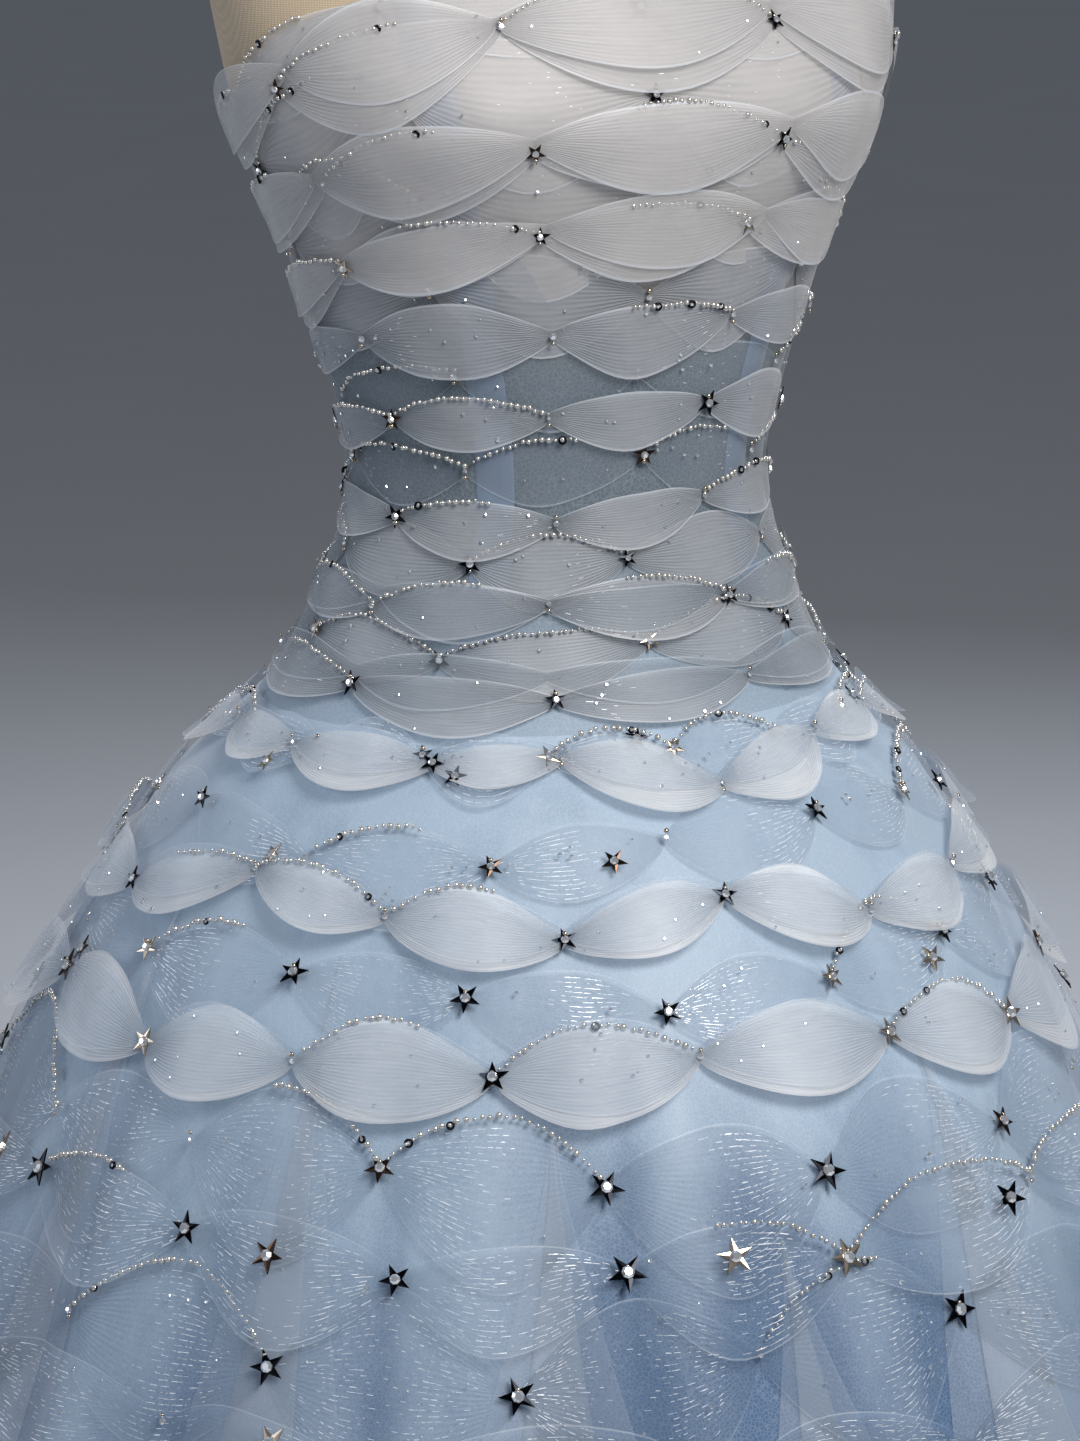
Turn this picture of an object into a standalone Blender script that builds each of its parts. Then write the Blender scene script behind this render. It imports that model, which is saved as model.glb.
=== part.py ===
"""A strapless ball gown on a limbless dress form, in metres, +Z up.

The front faces -Y and the wearer's left is +X. The origin is the centre of the
stand's underside, on the floor. An angle round the gown is 0 at the centre front
and grows towards the wearer's left.
"""

import math

import bpy
from mathutils import Vector

MM = 0.001

# Cloth
WALL = 1.5 * MM
PETAL_WALL = 1.0 * MM
SEAM_GAP = 0.3 * MM
BODY_GAP = 0.6 * MM
PETAL_GAP = 0.8 * MM

# Heights of the gown above the floor
HEM_HEIGHT = 0.008
SEAM_HEIGHT = 0.954
WAIST_HEIGHT = 1.0616
FRONT_NECK_HEIGHT = 1.318
LOOKUP_HEIGHT = 1.350

# Columns of points round the cloth: whole numbers of them fit each petal
BODICE_COLUMNS = 48
SKIRT_COLUMNS = 64

# The base cloth's outer face. The lead is how far forward of the pole its widest line lies.
GOWN_SECTIONS = (
    # height, half_width, front, back, lead
    (1.3500, 0.1960, 0.0900, 0.0930, 0.008),
    (1.3120, 0.1895, 0.1080, 0.0960, 0.010),
    (1.2680, 0.1795, 0.1240, 0.0960, 0.011),
    (1.2400, 0.1690, 0.1240, 0.0930, 0.012),
    (1.2050, 0.1525, 0.1170, 0.0880, 0.012),
    (1.1510, 0.1335, 0.1050, 0.0820, 0.012),
    (1.0975, 0.1165, 0.0970, 0.0780, 0.011),
    (1.0650, 0.1130, 0.0950, 0.0760, 0.010),
    (1.0380, 0.1190, 0.0980, 0.0800, 0.008),
    (1.0120, 0.1290, 0.1030, 0.0890, 0.006),
    (0.9850, 0.1400, 0.1120, 0.1030, 0.004),
    (0.9600, 0.1540, 0.1260, 0.1240, 0.000),
    (0.9350, 0.1750, 0.1480, 0.1530, -0.003),
    (0.9100, 0.1990, 0.1740, 0.1830, -0.005),
    (0.8830, 0.2170, 0.1960, 0.2080, -0.006),
    (0.8560, 0.2350, 0.2160, 0.2280, -0.006),
    (0.8300, 0.2520, 0.2350, 0.2480, -0.006),
    (0.7760, 0.2830, 0.2700, 0.2820, -0.006),
    (0.7490, 0.2960, 0.2840, 0.2960, -0.006),
    (0.5500, 0.3910, 0.3840, 0.3940, -0.005),
    (0.3000, 0.5100, 0.5060, 0.5140, -0.004),
    (0.0080, 0.6500, 0.6480, 0.6540, -0.003),
)

# The base cloth's top edge: angle from the centre front, height
NECKLINE = (
    (0.0, 1.318),
    (28.0, 1.331),
    (62.0, 1.312),
    (92.0, 1.272),
    (135.0, 1.246),
    (180.0, 1.240),
)

# Fullness of the two bust cups
CUP_ANGLE = 34.0
CUP_SPREAD = 20.0
CUP_HEIGHT = 1.264
CUP_RISE = 0.034
CUP_DEPTH = 0.010

# Soft folds of the skirt, as valleys: angle, spread each way, depth at the hem, height where it starts
SKIRT_FOLDS = (
    # angle, spread, depth, start_height
    (-170.0, 9.0, 0.026, 0.86),
    (-146.0, 8.0, 0.034, 0.80),
    (-124.0, 9.0, 0.024, 0.88),
    (-101.0, 8.0, 0.036, 0.82),
    (-79.0, 9.0, 0.028, 0.87),
    (-58.0, 8.0, 0.032, 0.80),
    (-41.0, 7.0, 0.024, 0.86),
    (-22.0, 7.5, 0.040, 0.88),
    (-3.0, 7.0, 0.030, 0.84),
    (12.0, 6.5, 0.040, 0.86),
    (34.0, 8.0, 0.028, 0.82),
    (55.0, 8.5, 0.036, 0.87),
    (78.0, 9.0, 0.026, 0.80),
    (99.0, 8.0, 0.034, 0.86),
    (123.0, 9.0, 0.028, 0.82),
    (148.0, 8.5, 0.036, 0.87),
)

# Chains of pinched braid on the bodice: height at the centre front, half height and puff of a petal
BODICE_ROWS = (
    # height, half_height, puff, over_bust
    (1.3000, 0.0270, 0.0070, True),
    (1.2460, 0.0230, 0.0070, True),
    (1.1980, 0.0205, 0.0060, False),
    (1.1540, 0.0185, 0.0055, False),
    (1.1100, 0.0170, 0.0050, False),
    (1.0616, 0.0160, 0.0050, False),
    (1.0130, 0.0155, 0.0055, False),
    (0.9730, 0.0155, 0.0060, False),
)
BODICE_PETALS = 8

# Chains on the skirt, from the top: they are set out down the slope, each step longer than the last
SKIRT_CHAINS = (
    # petals, first_pinch_column, height_share_of_width
    (14, 1, 0.46),
    (16, 0, 0.48),
    (16, -1, 0.52),
    (16, 1, 0.50),
    (15, 2, 0.50),
    (16, 0, 0.50),
    (15, 1, 0.50),
    (14, -1, 0.50),
    (14, 2, 0.50),
)
FIRST_ROW_SLOPE = 0.028
FIRST_STEP = 0.074
STEP_GROWTH = 1.12
PETAL_PUFF = 0.085
PINCH_HALF_HEIGHT = 0.004
PETAL_CROWN = 0.0012

# The bodice's panels, as the angles of their two seams
BODICE_PANELS = (
    ("bodice_front", -37.5, 37.5),
    ("bodice_side_front_left", 37.5, 90.0),
    ("bodice_side_back_left", 90.0, 135.0),
    ("bodice_back_left", 135.0, 180.0),
    ("bodice_back_right", 180.0, 225.0),
    ("bodice_side_back_right", 225.0, 270.0),
    ("bodice_side_front_right", 270.0, 322.5),
)
SKIRT_PANELS = (
    ("skirt_front", -45.0, 45.0),
    ("skirt_side_left", 45.0, 135.0),
    ("skirt_back", 135.0, 225.0),
    ("skirt_side_right", 225.0, 315.0),
)

# Ribbon-covered stays over the princess seams, and the placket over the zip
STRIPS = (
    # name, angle, width, foot, gap, finish
    ("stay_front_left", 37.5, 0.020, 0.960, 1.5 * MM, "stay_ribbon"),
    ("stay_front_right", -37.5, 0.020, 0.960, 1.5 * MM, "stay_ribbon"),
    ("back_placket", 180.0, 0.016, 0.960, 0.5 * MM, "bodice_cloth"),
)
STRIP_WALL = 1.0 * MM

# The form above the gown
FORM_UPPER_SECTIONS = (
    # height, half_width, front, back, lead
    (1.3680, 0.1990, 0.0800, 0.0900, 0.007),
    (1.3980, 0.1890, 0.0700, 0.0840, 0.005),
    (1.4220, 0.1650, 0.0610, 0.0760, 0.003),
    (1.4400, 0.1270, 0.0570, 0.0680, 0.001),
    (1.4550, 0.0900, 0.0550, 0.0630, 0.000),
    (1.4720, 0.0650, 0.0540, 0.0590, 0.000),
    (1.4950, 0.0565, 0.0530, 0.0560, 0.000),
    (1.5300, 0.0545, 0.0520, 0.0550, 0.000),
)
# The form below the bodice, hidden by the skirt
FORM_HIP_SECTIONS = (
    # height, half_width, front, back, lead
    (0.7700, 0.1180, 0.0860, 0.0900, 0.000),
    (0.7800, 0.1310, 0.0970, 0.1020, 0.000),
    (0.8300, 0.1480, 0.1090, 0.1170, 0.000),
    (0.8900, 0.1540, 0.1140, 0.1230, 0.000),
    (0.9300, 0.1500, 0.1160, 0.1180, 0.000),
)
FORM_NECK_TOP = 1.530

# Stand
CAP_PROFILE = (
    # radius, height above the neck's top
    (0.0560, 0.0000),
    (0.0590, 0.0060),
    (0.0590, 0.0160),
    (0.0500, 0.0240),
    (0.0250, 0.0330),
    (0.0140, 0.0400),
    (0.0170, 0.0520),
    (0.0120, 0.0640),
)
POLE_RADIUS = 0.016
POLE_COLLAR_RADIUS = 0.042
POLE_COLLAR_HEIGHT = 0.030
BASE_RADIUS = 0.190
BASE_RIM = 0.010
BASE_HEIGHT = 0.018
BASE_HUB_RADIUS = 0.034
BASE_HUB_HEIGHT = 0.040
ROUND_SIDES = 24

COLOURS = {
    # name: (red, green, blue), roughness, metallic
    "bodice_cloth": ((0.66, 0.70, 0.75), 0.55, 0.0),
    "skirt_cloth": ((0.42, 0.58, 0.76), 0.50, 0.0),
    "petal_braid": ((0.78, 0.84, 0.90), 0.35, 0.0),
    "stay_ribbon": ((0.55, 0.70, 0.88), 0.45, 0.0),
    "form_cover": ((0.74, 0.66, 0.53), 0.80, 0.0),
    "stand_metal": ((0.30, 0.30, 0.31), 0.40, 1.0),
    "cap_wood": ((0.32, 0.20, 0.11), 0.45, 0.0),
}


def clear_scene():
    """Removes whatever the scene starts with."""
    for thing in list(bpy.data.objects):
        bpy.data.objects.remove(thing)


def material(name):
    """The named finish, made once."""
    found = bpy.data.materials.get(name)
    if found:
        return found
    colour, roughness, metallic = COLOURS[name]
    made = bpy.data.materials.new(name)
    made.use_nodes = True
    shader = made.node_tree.nodes["Principled BSDF"]
    shader.inputs["Base Color"].default_value = (*colour, 1.0)
    shader.inputs["Roughness"].default_value = roughness
    shader.inputs["Metallic"].default_value = metallic
    return made


def add_solid(name, points, faces, finish):
    """One named object from points and faces, shaded smooth with sharp edges kept."""
    mesh = bpy.data.meshes.new(name)
    mesh.from_pydata([tuple(p) for p in points], [], faces)
    mesh.validate()
    mesh.shade_smooth()
    mesh.set_sharp_from_angle(angle=math.radians(40))
    mesh.materials.append(material(finish))
    made = bpy.data.objects.new(name, mesh)
    bpy.context.scene.collection.objects.link(made)
    return made


def between(table, at, column):
    """A smooth value read from a table sorted by its first column, either way."""
    rows = sorted(table)
    at = min(max(at, rows[0][0]), rows[-1][0])
    low = max(i for i in range(len(rows) - 1) if rows[i][0] <= at or i == 0)
    start, end = rows[low], rows[low + 1]
    span = end[0] - start[0]

    def slope(i):
        before, after = rows[max(i - 1, 0)], rows[min(i + 1, len(rows) - 1)]
        return (after[column] - before[column]) / (after[0] - before[0])

    t = (at - start[0]) / span
    first, last = start[column], end[column]
    return (
        first * (2 * t**3 - 3 * t**2 + 1)
        + slope(low) * span * (t**3 - 2 * t**2 + t)
        + last * (3 * t**2 - 2 * t**3)
        + slope(low + 1) * span * (t**3 - t**2)
    )


def turned(degrees):
    """The angle brought to between -180 and 180."""
    return (degrees + 180.0) % 360.0 - 180.0


def oval_point(table, degrees, height):
    """A point of a table's section at this angle and height, and its level outward direction."""
    wide = between(table, height, 1)
    turn = math.radians(degrees)
    deep = between(table, height, 2 if math.cos(turn) >= 0 else 3)
    lead = between(table, height, 4)
    deep -= lead if math.cos(turn) >= 0 else -lead
    point = Vector((wide * math.sin(turn), -lead - deep * math.cos(turn), height))
    out = Vector((deep * math.sin(turn), -wide * math.cos(turn), 0.0)).normalized()
    return point, out


def bell(distance, spread):
    """1 at the middle, falling smoothly to nothing about two spreads away."""
    return math.exp(-((distance / spread) ** 2))


def cup_fullness(degrees, height):
    """How far the bust cups stand out of the plain oval."""
    rise = bell(height - CUP_HEIGHT, CUP_RISE)
    side = abs(turned(degrees)) - CUP_ANGLE
    return CUP_DEPTH * rise * bell(side, CUP_SPREAD)


def fold_depth(degrees, height):
    """How far the skirt's folds draw the cloth in."""
    depth = 0.0
    for angle, spread, deep, start in SKIRT_FOLDS:
        if height < start:
            fall = (start - height) / (start - HEM_HEIGHT)
            depth += deep * fall**0.8 * bell(turned(degrees - angle), spread)
    return depth


def body_point(degrees, height):
    """A point of the smooth cloth, before it is cut into columns and rings."""
    point, out = oval_point(GOWN_SECTIONS, degrees, height)
    return point + out * (cup_fullness(degrees, height) - fold_depth(degrees, height))


def outward(degrees, height):
    """The cloth's outward direction, tilted with its slope but not with its folds."""
    step = 0.004
    high = min(height + step, LOOKUP_HEIGHT)
    low = max(height - step, HEM_HEIGHT)
    upper, out = oval_point(GOWN_SECTIONS, degrees, high)
    lower, _ = oval_point(GOWN_SECTIONS, degrees, low)
    lean = (lower - upper).dot(out) / (high - low)
    return (out + Vector((0.0, 0.0, lean))).normalized()


def neck_share(degrees):
    """The neckline's height above the waist, as a share of its height at the centre front."""
    height = between(NECKLINE, abs(turned(degrees)), 1)
    return (height - WAIST_HEIGHT) / (FRONT_NECK_HEIGHT - WAIST_HEIGHT)


def lowered(height, degrees):
    """A centre-front height on the bodice, taken round to this angle as the neckline falls."""
    if height <= WAIST_HEIGHT:
        return height
    return WAIST_HEIGHT + (height - WAIST_HEIGHT) * neck_share(degrees)


def slope_heights():
    """The heights of the skirt's chains, stepped down its slope at the wearer's side."""
    wanted, step = FIRST_ROW_SLOPE, FIRST_STEP
    travelled, height, found = 0.0, SEAM_HEIGHT, []
    fine = 0.0005
    while len(found) < len(SKIRT_CHAINS):
        lean = between(GOWN_SECTIONS, height - fine, 1) - between(GOWN_SECTIONS, height, 1)
        travelled += math.hypot(lean, fine)
        height -= fine
        if travelled >= wanted:
            found.append(height)
            wanted += step
            step *= STEP_GROWTH
    return found


SKIRT_ROW_HEIGHTS = slope_heights()
BODICE_RINGS = sorted([SEAM_HEIGHT, 1.037, 1.086, FRONT_NECK_HEIGHT, LOOKUP_HEIGHT] + [row[0] for row in BODICE_ROWS])
SKIRT_RINGS = (HEM_HEIGHT, 0.250, 0.500, 0.680, 0.776, 0.830, 0.883, 0.925, SEAM_HEIGHT)


def ring_height(height, degrees, on_bodice):
    """A ring's own height at this angle."""
    return lowered(height, degrees) if on_bodice else height


def cloth_point(degrees, height, on_bodice):
    """A point of the faceted cloth as it is built, on the triangles between its columns and rings."""
    columns = BODICE_COLUMNS if on_bodice else SKIRT_COLUMNS
    rings = BODICE_RINGS if on_bodice else SKIRT_RINGS
    step = 360.0 / columns
    near = math.floor(degrees / step + 1e-9)
    across = degrees / step - near
    angles = near * step, (near + 1) * step
    here, there = ([ring_height(ring, angle, on_bodice) for ring in rings] for angle in angles)
    heights = [a + (b - a) * across for a, b in zip(here, there)]
    at = min(max(height, heights[0]), heights[-1])
    low = max(i for i in range(len(rings) - 1) if heights[i] <= at + 1e-12)
    up = (at - heights[low]) / (heights[low + 1] - heights[low])
    foot, head = body_point(angles[0], here[low]), body_point(angles[1], there[low + 1])
    if up > across:
        side = body_point(angles[0], here[low + 1])
        return foot + (side - foot) * up + (head - side) * across
    side = body_point(angles[1], there[low])
    return foot + (side - foot) * across + (head - side) * up


def tube_faces(columns, rows, closed):
    """Faces joining columns of points, each column a closed loop of that many rows.

    The first half of a loop climbs the outer face and the rest comes down the inner one. Every
    face starts at the corner that splits both sheets along the same diagonal.
    """
    faces = []
    for column in range(columns if closed else columns - 1):
        here, there = column * rows, (column + 1) % columns * rows
        for row in range(rows):
            after = (row + 1) % rows
            corners = (here + row, there + row, there + after, here + after)
            faces.append(corners if row < rows // 2 else corners[1:] + corners[:1])
    if not closed:
        last = (columns - 1) * rows
        faces.append(tuple(range(rows)))
        faces.append(tuple(last + row for row in range(rows))[::-1])
    return faces


def capped_wall_faces(columns, rows):
    """tube_faces for an open wall, whose two ends are strips of quads between its faces."""
    faces = tube_faces(columns, rows, closed=False)[:-2]
    last = (columns - 1) * rows
    half = rows // 2
    for row in range(half - 1):
        near = (row, row + 1, rows - 2 - row, rows - 1 - row)
        faces.append(near)
        faces.append(tuple(last + corner for corner in reversed(near)))
    return faces


def add_panel(name, start, end, on_bodice, finish):
    """One cut panel of the bodice or skirt: a wall between two seams."""
    columns = BODICE_COLUMNS if on_bodice else SKIRT_COLUMNS
    step = 360.0 / columns
    rings = [ring for ring in (BODICE_RINGS if on_bodice else SKIRT_RINGS) if ring < LOOKUP_HEIGHT]
    count = round((end - start) / step) + 1
    points = []
    for column in range(count):
        angle = start + column * step
        _, level = oval_point(GOWN_SECTIONS, angle, SEAM_HEIGHT)
        along = Vector((-level.y, level.x, 0.0))
        inset = {0: SEAM_GAP / 2, count - 1: -SEAM_GAP / 2}.get(column, 0.0)
        outer, inner = [], []
        for ring in rings:
            height = ring_height(ring, angle, on_bodice)
            out = outward(angle, height)
            point = body_point(angle, height) + along * inset
            if ring == SEAM_HEIGHT:
                point.z += SEAM_GAP / 2 if on_bodice else -SEAM_GAP / 2
                out = Vector((out.x, out.y, 0.0)).normalized()
            outer.append(point)
            inner.append(point - out * WALL)
        if not on_bodice:
            inner[0].z = HEM_HEIGHT
        points += outer + inner[::-1]
    return add_solid(name, points, capped_wall_faces(count, 2 * len(rings)), finish)


def petal_share(column, pinches):
    """How far along its petal a column lies, from 0 to 1, and the petal's width in columns."""
    for first, last in zip(pinches, pinches[1:]):
        if first <= column <= last:
            return (column - first) / (last - first), last - first
    raise ValueError(f"no petal at column {column}")


def chain_column(degrees, middle, half_height, puff, on_bodice, crowned, bent=False):
    """One closed loop of a chain's points: its outer face from foot to top, then its inner face.

    A crowned braid has a ridge along its middle, and a bent one follows the bust behind it too.
    """
    out = outward(degrees, middle)
    reach = half_height * math.hypot(out.x, out.y)
    top = cloth_point(degrees, middle + reach, on_bodice)
    centre = cloth_point(degrees, middle, on_bodice)
    foot = cloth_point(degrees, middle - reach, on_bodice)
    stand = PETAL_GAP + puff
    crown = PETAL_CROWN * min(1.0, half_height / 0.015)
    loop = [foot + out * (stand + PETAL_WALL)]
    if crowned:
        loop.append(centre + out * (stand + PETAL_WALL + crown))
    loop += [top + out * (stand + PETAL_WALL), top + out * stand]
    if bent:
        loop.append(centre + out * stand)
    loop.append(foot + out * stand)
    return loop


def add_bodice_chain(name, height, half_height, puff, over_bust):
    """One chain of pinched braid round the bodice, open at the centre back."""
    step = 360.0 / BODICE_COLUMNS
    each = BODICE_COLUMNS // BODICE_PETALS
    last = BODICE_COLUMNS // 2 - 1
    pinches = [-last] + list(range(each // 2 - BODICE_COLUMNS // 2, last, each)) + [last]
    count = 2 * last + 1
    points = []
    for column in range(-last, last + 1):
        angle = column * step
        share, width = petal_share(column, pinches)
        swell = math.sin(math.pi * share) * width / each
        tall = PINCH_HALF_HEIGHT + (half_height * neck_share(angle) - PINCH_HALF_HEIGHT) * swell
        points += chain_column(angle, lowered(height, angle), tall, puff * swell, True, True, over_bust)
    return add_solid(name, points, tube_faces(count, len(points) // count, closed=False), "petal_braid")


def add_skirt_chain(name, height, petals, first_pinch, shape):
    """One chain of pinched braid all round the skirt. Every pinch lies on one of the skirt's columns."""
    step = 360.0 / SKIRT_COLUMNS
    pinches = [round(i * SKIRT_COLUMNS / petals) for i in range(petals + 1)]
    column_width = 2 * math.pi * between(GOWN_SECTIONS, height, 1) / SKIRT_COLUMNS
    points = []
    for column in range(SKIRT_COLUMNS):
        angle = (first_pinch + column) * step
        share, columns = petal_share(column, pinches)
        width = columns * column_width
        swell = math.sin(math.pi * share)
        tall = PINCH_HALF_HEIGHT + (width * shape / 2 - PINCH_HALF_HEIGHT) * swell
        points += chain_column(angle, height, tall, width * PETAL_PUFF * swell, False, False)
    return add_solid(name, points, tube_faces(SKIRT_COLUMNS, 4, closed=True), "petal_braid")


def add_strip(name, middle, width, foot, gap, finish):
    """A narrow strip that lies on the bodice, up to its neckline."""
    top = lowered(FRONT_NECK_HEIGHT, middle) - 0.002
    bends = [lowered(ring, middle) for ring in BODICE_RINGS]
    bends = [foot] + [bend for bend in bends if foot + 0.01 < bend < top - 0.01] + [top]
    heights = sorted(bends + [(low + high) / 2 for low, high in zip(bends, bends[1:])])
    points = []
    for height in heights:
        wide = between(GOWN_SECTIONS, height, 1)
        deep = between(GOWN_SECTIONS, height, 2 if abs(turned(middle)) < 90 else 3)
        turn = math.radians(middle)
        pace = math.hypot(wide * math.cos(turn), deep * math.sin(turn))
        half = math.degrees(width / 2 / pace)
        out = outward(middle, height)
        row = [cloth_point(middle + side * half, height, True) for side in (1, 0, -1)]
        near = [point + out * gap for point in row]
        far = [point + out * (gap + STRIP_WALL) for point in row]
        points += far + near[::-1]
    return add_solid(name, points, tube_faces(len(heights), 6, closed=False), finish)


def add_form_torso():
    """The form's body: hips, the shape under the bodice, shoulders and neck, closed at both ends."""
    columns = range(BODICE_COLUMNS)
    angles = [column * 360.0 / BODICE_COLUMNS for column in columns]
    rings = [[oval_point(FORM_HIP_SECTIONS, a, row[0])[0] for a in angles] for row in FORM_HIP_SECTIONS]
    for ring in BODICE_RINGS:
        heights = [lowered(ring, a) for a in angles]
        rings.append([body_point(a, h) - outward(a, h) * (WALL + BODY_GAP) for a, h in zip(angles, heights)])
    shoulder = [oval_point(FORM_UPPER_SECTIONS, a, FORM_UPPER_SECTIONS[0][0])[0] for a in angles]
    rings.append([low.lerp(high, 0.5) for low, high in zip(rings[-1], shoulder)])
    rings += [[oval_point(FORM_UPPER_SECTIONS, a, row[0])[0] for a in angles] for row in FORM_UPPER_SECTIONS]
    points = [point for ring in rings for point in ring]
    faces = []
    for ring in range(len(rings) - 1):
        for column in range(BODICE_COLUMNS):
            after = (column + 1) % BODICE_COLUMNS
            low, high = ring * BODICE_COLUMNS, (ring + 1) * BODICE_COLUMNS
            faces.append((low + column, low + after, high + after, high + column))
    last = (len(rings) - 1) * BODICE_COLUMNS
    faces.append(tuple(range(BODICE_COLUMNS))[::-1])
    faces.append(tuple(last + column for column in range(BODICE_COLUMNS)))
    return add_solid("form_torso", points, faces, "form_cover")


def add_turned(name, profile, finish):
    """A turned piece from its profile of radius and height, foot first, flat at both ends."""
    points = []
    for radius, height in profile:
        for side in range(ROUND_SIDES):
            turn = 2 * math.pi * side / ROUND_SIDES
            points.append(Vector((radius * math.cos(turn), radius * math.sin(turn), height)))
    faces = []
    for ring in range(len(profile) - 1):
        for side in range(ROUND_SIDES):
            after = (side + 1) % ROUND_SIDES
            low, high = ring * ROUND_SIDES, (ring + 1) * ROUND_SIDES
            faces.append((low + side, low + after, high + after, high + side))
    last = (len(profile) - 1) * ROUND_SIDES
    faces.append(tuple(range(ROUND_SIDES))[::-1])
    faces.append(tuple(last + side for side in range(ROUND_SIDES)))
    return add_solid(name, points, faces, finish)


def add_stand():
    """The form's weighted base, its pole with a collar under the torso, and its neck cap."""
    torso_foot = FORM_HIP_SECTIONS[0][0]
    base_profile = (
        (BASE_RADIUS - 0.002, 0.0),
        (BASE_RADIUS, 0.002),
        (BASE_RADIUS, BASE_RIM),
        (BASE_RADIUS - 0.012, BASE_HEIGHT - 0.003),
        (BASE_HUB_RADIUS + 0.020, BASE_HEIGHT),
        (BASE_HUB_RADIUS, BASE_HEIGHT + 0.006),
        (BASE_HUB_RADIUS - 0.008, BASE_HUB_HEIGHT),
    )
    add_turned("stand_base", base_profile, "stand_metal")
    collar_foot = torso_foot - SEAM_GAP - POLE_COLLAR_HEIGHT
    pole_profile = (
        (POLE_RADIUS, BASE_HUB_HEIGHT + SEAM_GAP),
        (POLE_RADIUS, collar_foot),
        (POLE_COLLAR_RADIUS * 0.6, collar_foot + 0.010),
        (POLE_COLLAR_RADIUS, collar_foot + POLE_COLLAR_HEIGHT - 0.008),
        (POLE_COLLAR_RADIUS, torso_foot - SEAM_GAP),
    )
    add_turned("stand_pole", pole_profile, "stand_metal")
    cap_foot = FORM_NECK_TOP + SEAM_GAP
    add_turned("form_neck_cap", [(r, cap_foot + h) for r, h in CAP_PROFILE], "cap_wood")


def add_gown():
    """The gown's panels, strips and chains."""
    for name, start, end in BODICE_PANELS:
        add_panel(name, start, end, True, "bodice_cloth")
    for name, start, end in SKIRT_PANELS:
        add_panel(name, start, end, False, "skirt_cloth")
    for strip in STRIPS:
        add_strip(*strip)
    for number, row in enumerate(BODICE_ROWS, 1):
        add_bodice_chain(f"bodice_chain_{number}", *row)
    for number, (height, row) in enumerate(zip(SKIRT_ROW_HEIGHTS, SKIRT_CHAINS), 1):
        add_skirt_chain(f"skirt_chain_{number}", height, *row)


def main():
    """Builds the form and the gown."""
    clear_scene()
    add_form_torso()
    add_stand()
    add_gown()


main()
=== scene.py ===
"""Dresses a packed ball gown and its dress form: cloth, braid petals, stars, beads and stand."""

from __future__ import annotations

import logging
import math
import random
from dataclasses import dataclass, field
from enum import Enum

import bpy
import numpy as np
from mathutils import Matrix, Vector

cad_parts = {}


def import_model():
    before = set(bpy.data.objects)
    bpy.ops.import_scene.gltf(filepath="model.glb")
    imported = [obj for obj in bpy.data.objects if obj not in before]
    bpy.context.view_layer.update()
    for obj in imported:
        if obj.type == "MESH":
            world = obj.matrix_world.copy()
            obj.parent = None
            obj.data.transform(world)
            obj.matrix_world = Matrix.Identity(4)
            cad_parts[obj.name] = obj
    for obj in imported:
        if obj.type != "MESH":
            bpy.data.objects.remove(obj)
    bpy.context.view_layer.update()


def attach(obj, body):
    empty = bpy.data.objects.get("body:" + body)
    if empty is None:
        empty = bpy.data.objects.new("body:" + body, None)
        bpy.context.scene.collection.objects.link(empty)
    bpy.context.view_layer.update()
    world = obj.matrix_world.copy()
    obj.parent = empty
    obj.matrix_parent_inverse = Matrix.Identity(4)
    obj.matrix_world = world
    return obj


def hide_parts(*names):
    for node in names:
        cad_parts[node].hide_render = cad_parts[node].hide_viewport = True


MM = 0.001
SEED = 7
LOG = logging.getLogger("ball_gown")

Piece = bpy.types.Object
Material = bpy.types.Material
Tree = bpy.types.NodeTree
Node = bpy.types.Node
Socket = bpy.types.NodeSocket
Array = np.ndarray
Pair = tuple[float, float]
Shape = tuple[np.ndarray, list[tuple[int, ...]]]

# The gown's form, as the frame's solids have it: sizes in metres, angles in degrees from the
# centre front towards the wearer's left.
HEM_HEIGHT = 0.008
SEAM_HEIGHT = 0.954
WAIST_HEIGHT = 1.0616
FRONT_NECK_HEIGHT = 1.318
LOOKUP_HEIGHT = 1.350
CLOTH_WALL = 1.5 * MM

GOWN_SECTIONS = (
    # height, half_width, front, back, lead
    (1.3500, 0.1960, 0.0900, 0.0930, 0.008),
    (1.3120, 0.1895, 0.1080, 0.0960, 0.010),
    (1.2680, 0.1795, 0.1240, 0.0960, 0.011),
    (1.2400, 0.1690, 0.1240, 0.0930, 0.012),
    (1.2050, 0.1525, 0.1170, 0.0880, 0.012),
    (1.1510, 0.1335, 0.1050, 0.0820, 0.012),
    (1.0975, 0.1165, 0.0970, 0.0780, 0.011),
    (1.0650, 0.1130, 0.0950, 0.0760, 0.010),
    (1.0380, 0.1190, 0.0980, 0.0800, 0.008),
    (1.0120, 0.1290, 0.1030, 0.0890, 0.006),
    (0.9850, 0.1400, 0.1120, 0.1030, 0.004),
    (0.9600, 0.1540, 0.1260, 0.1240, 0.000),
    (0.9350, 0.1750, 0.1480, 0.1530, -0.003),
    (0.9100, 0.1990, 0.1740, 0.1830, -0.005),
    (0.8830, 0.2170, 0.1960, 0.2080, -0.006),
    (0.8560, 0.2350, 0.2160, 0.2280, -0.006),
    (0.8300, 0.2520, 0.2350, 0.2480, -0.006),
    (0.7760, 0.2830, 0.2700, 0.2820, -0.006),
    (0.7490, 0.2960, 0.2840, 0.2960, -0.006),
    (0.5500, 0.3910, 0.3840, 0.3940, -0.005),
    (0.3000, 0.5100, 0.5060, 0.5140, -0.004),
    (0.0080, 0.6500, 0.6480, 0.6540, -0.003),
)
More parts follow.
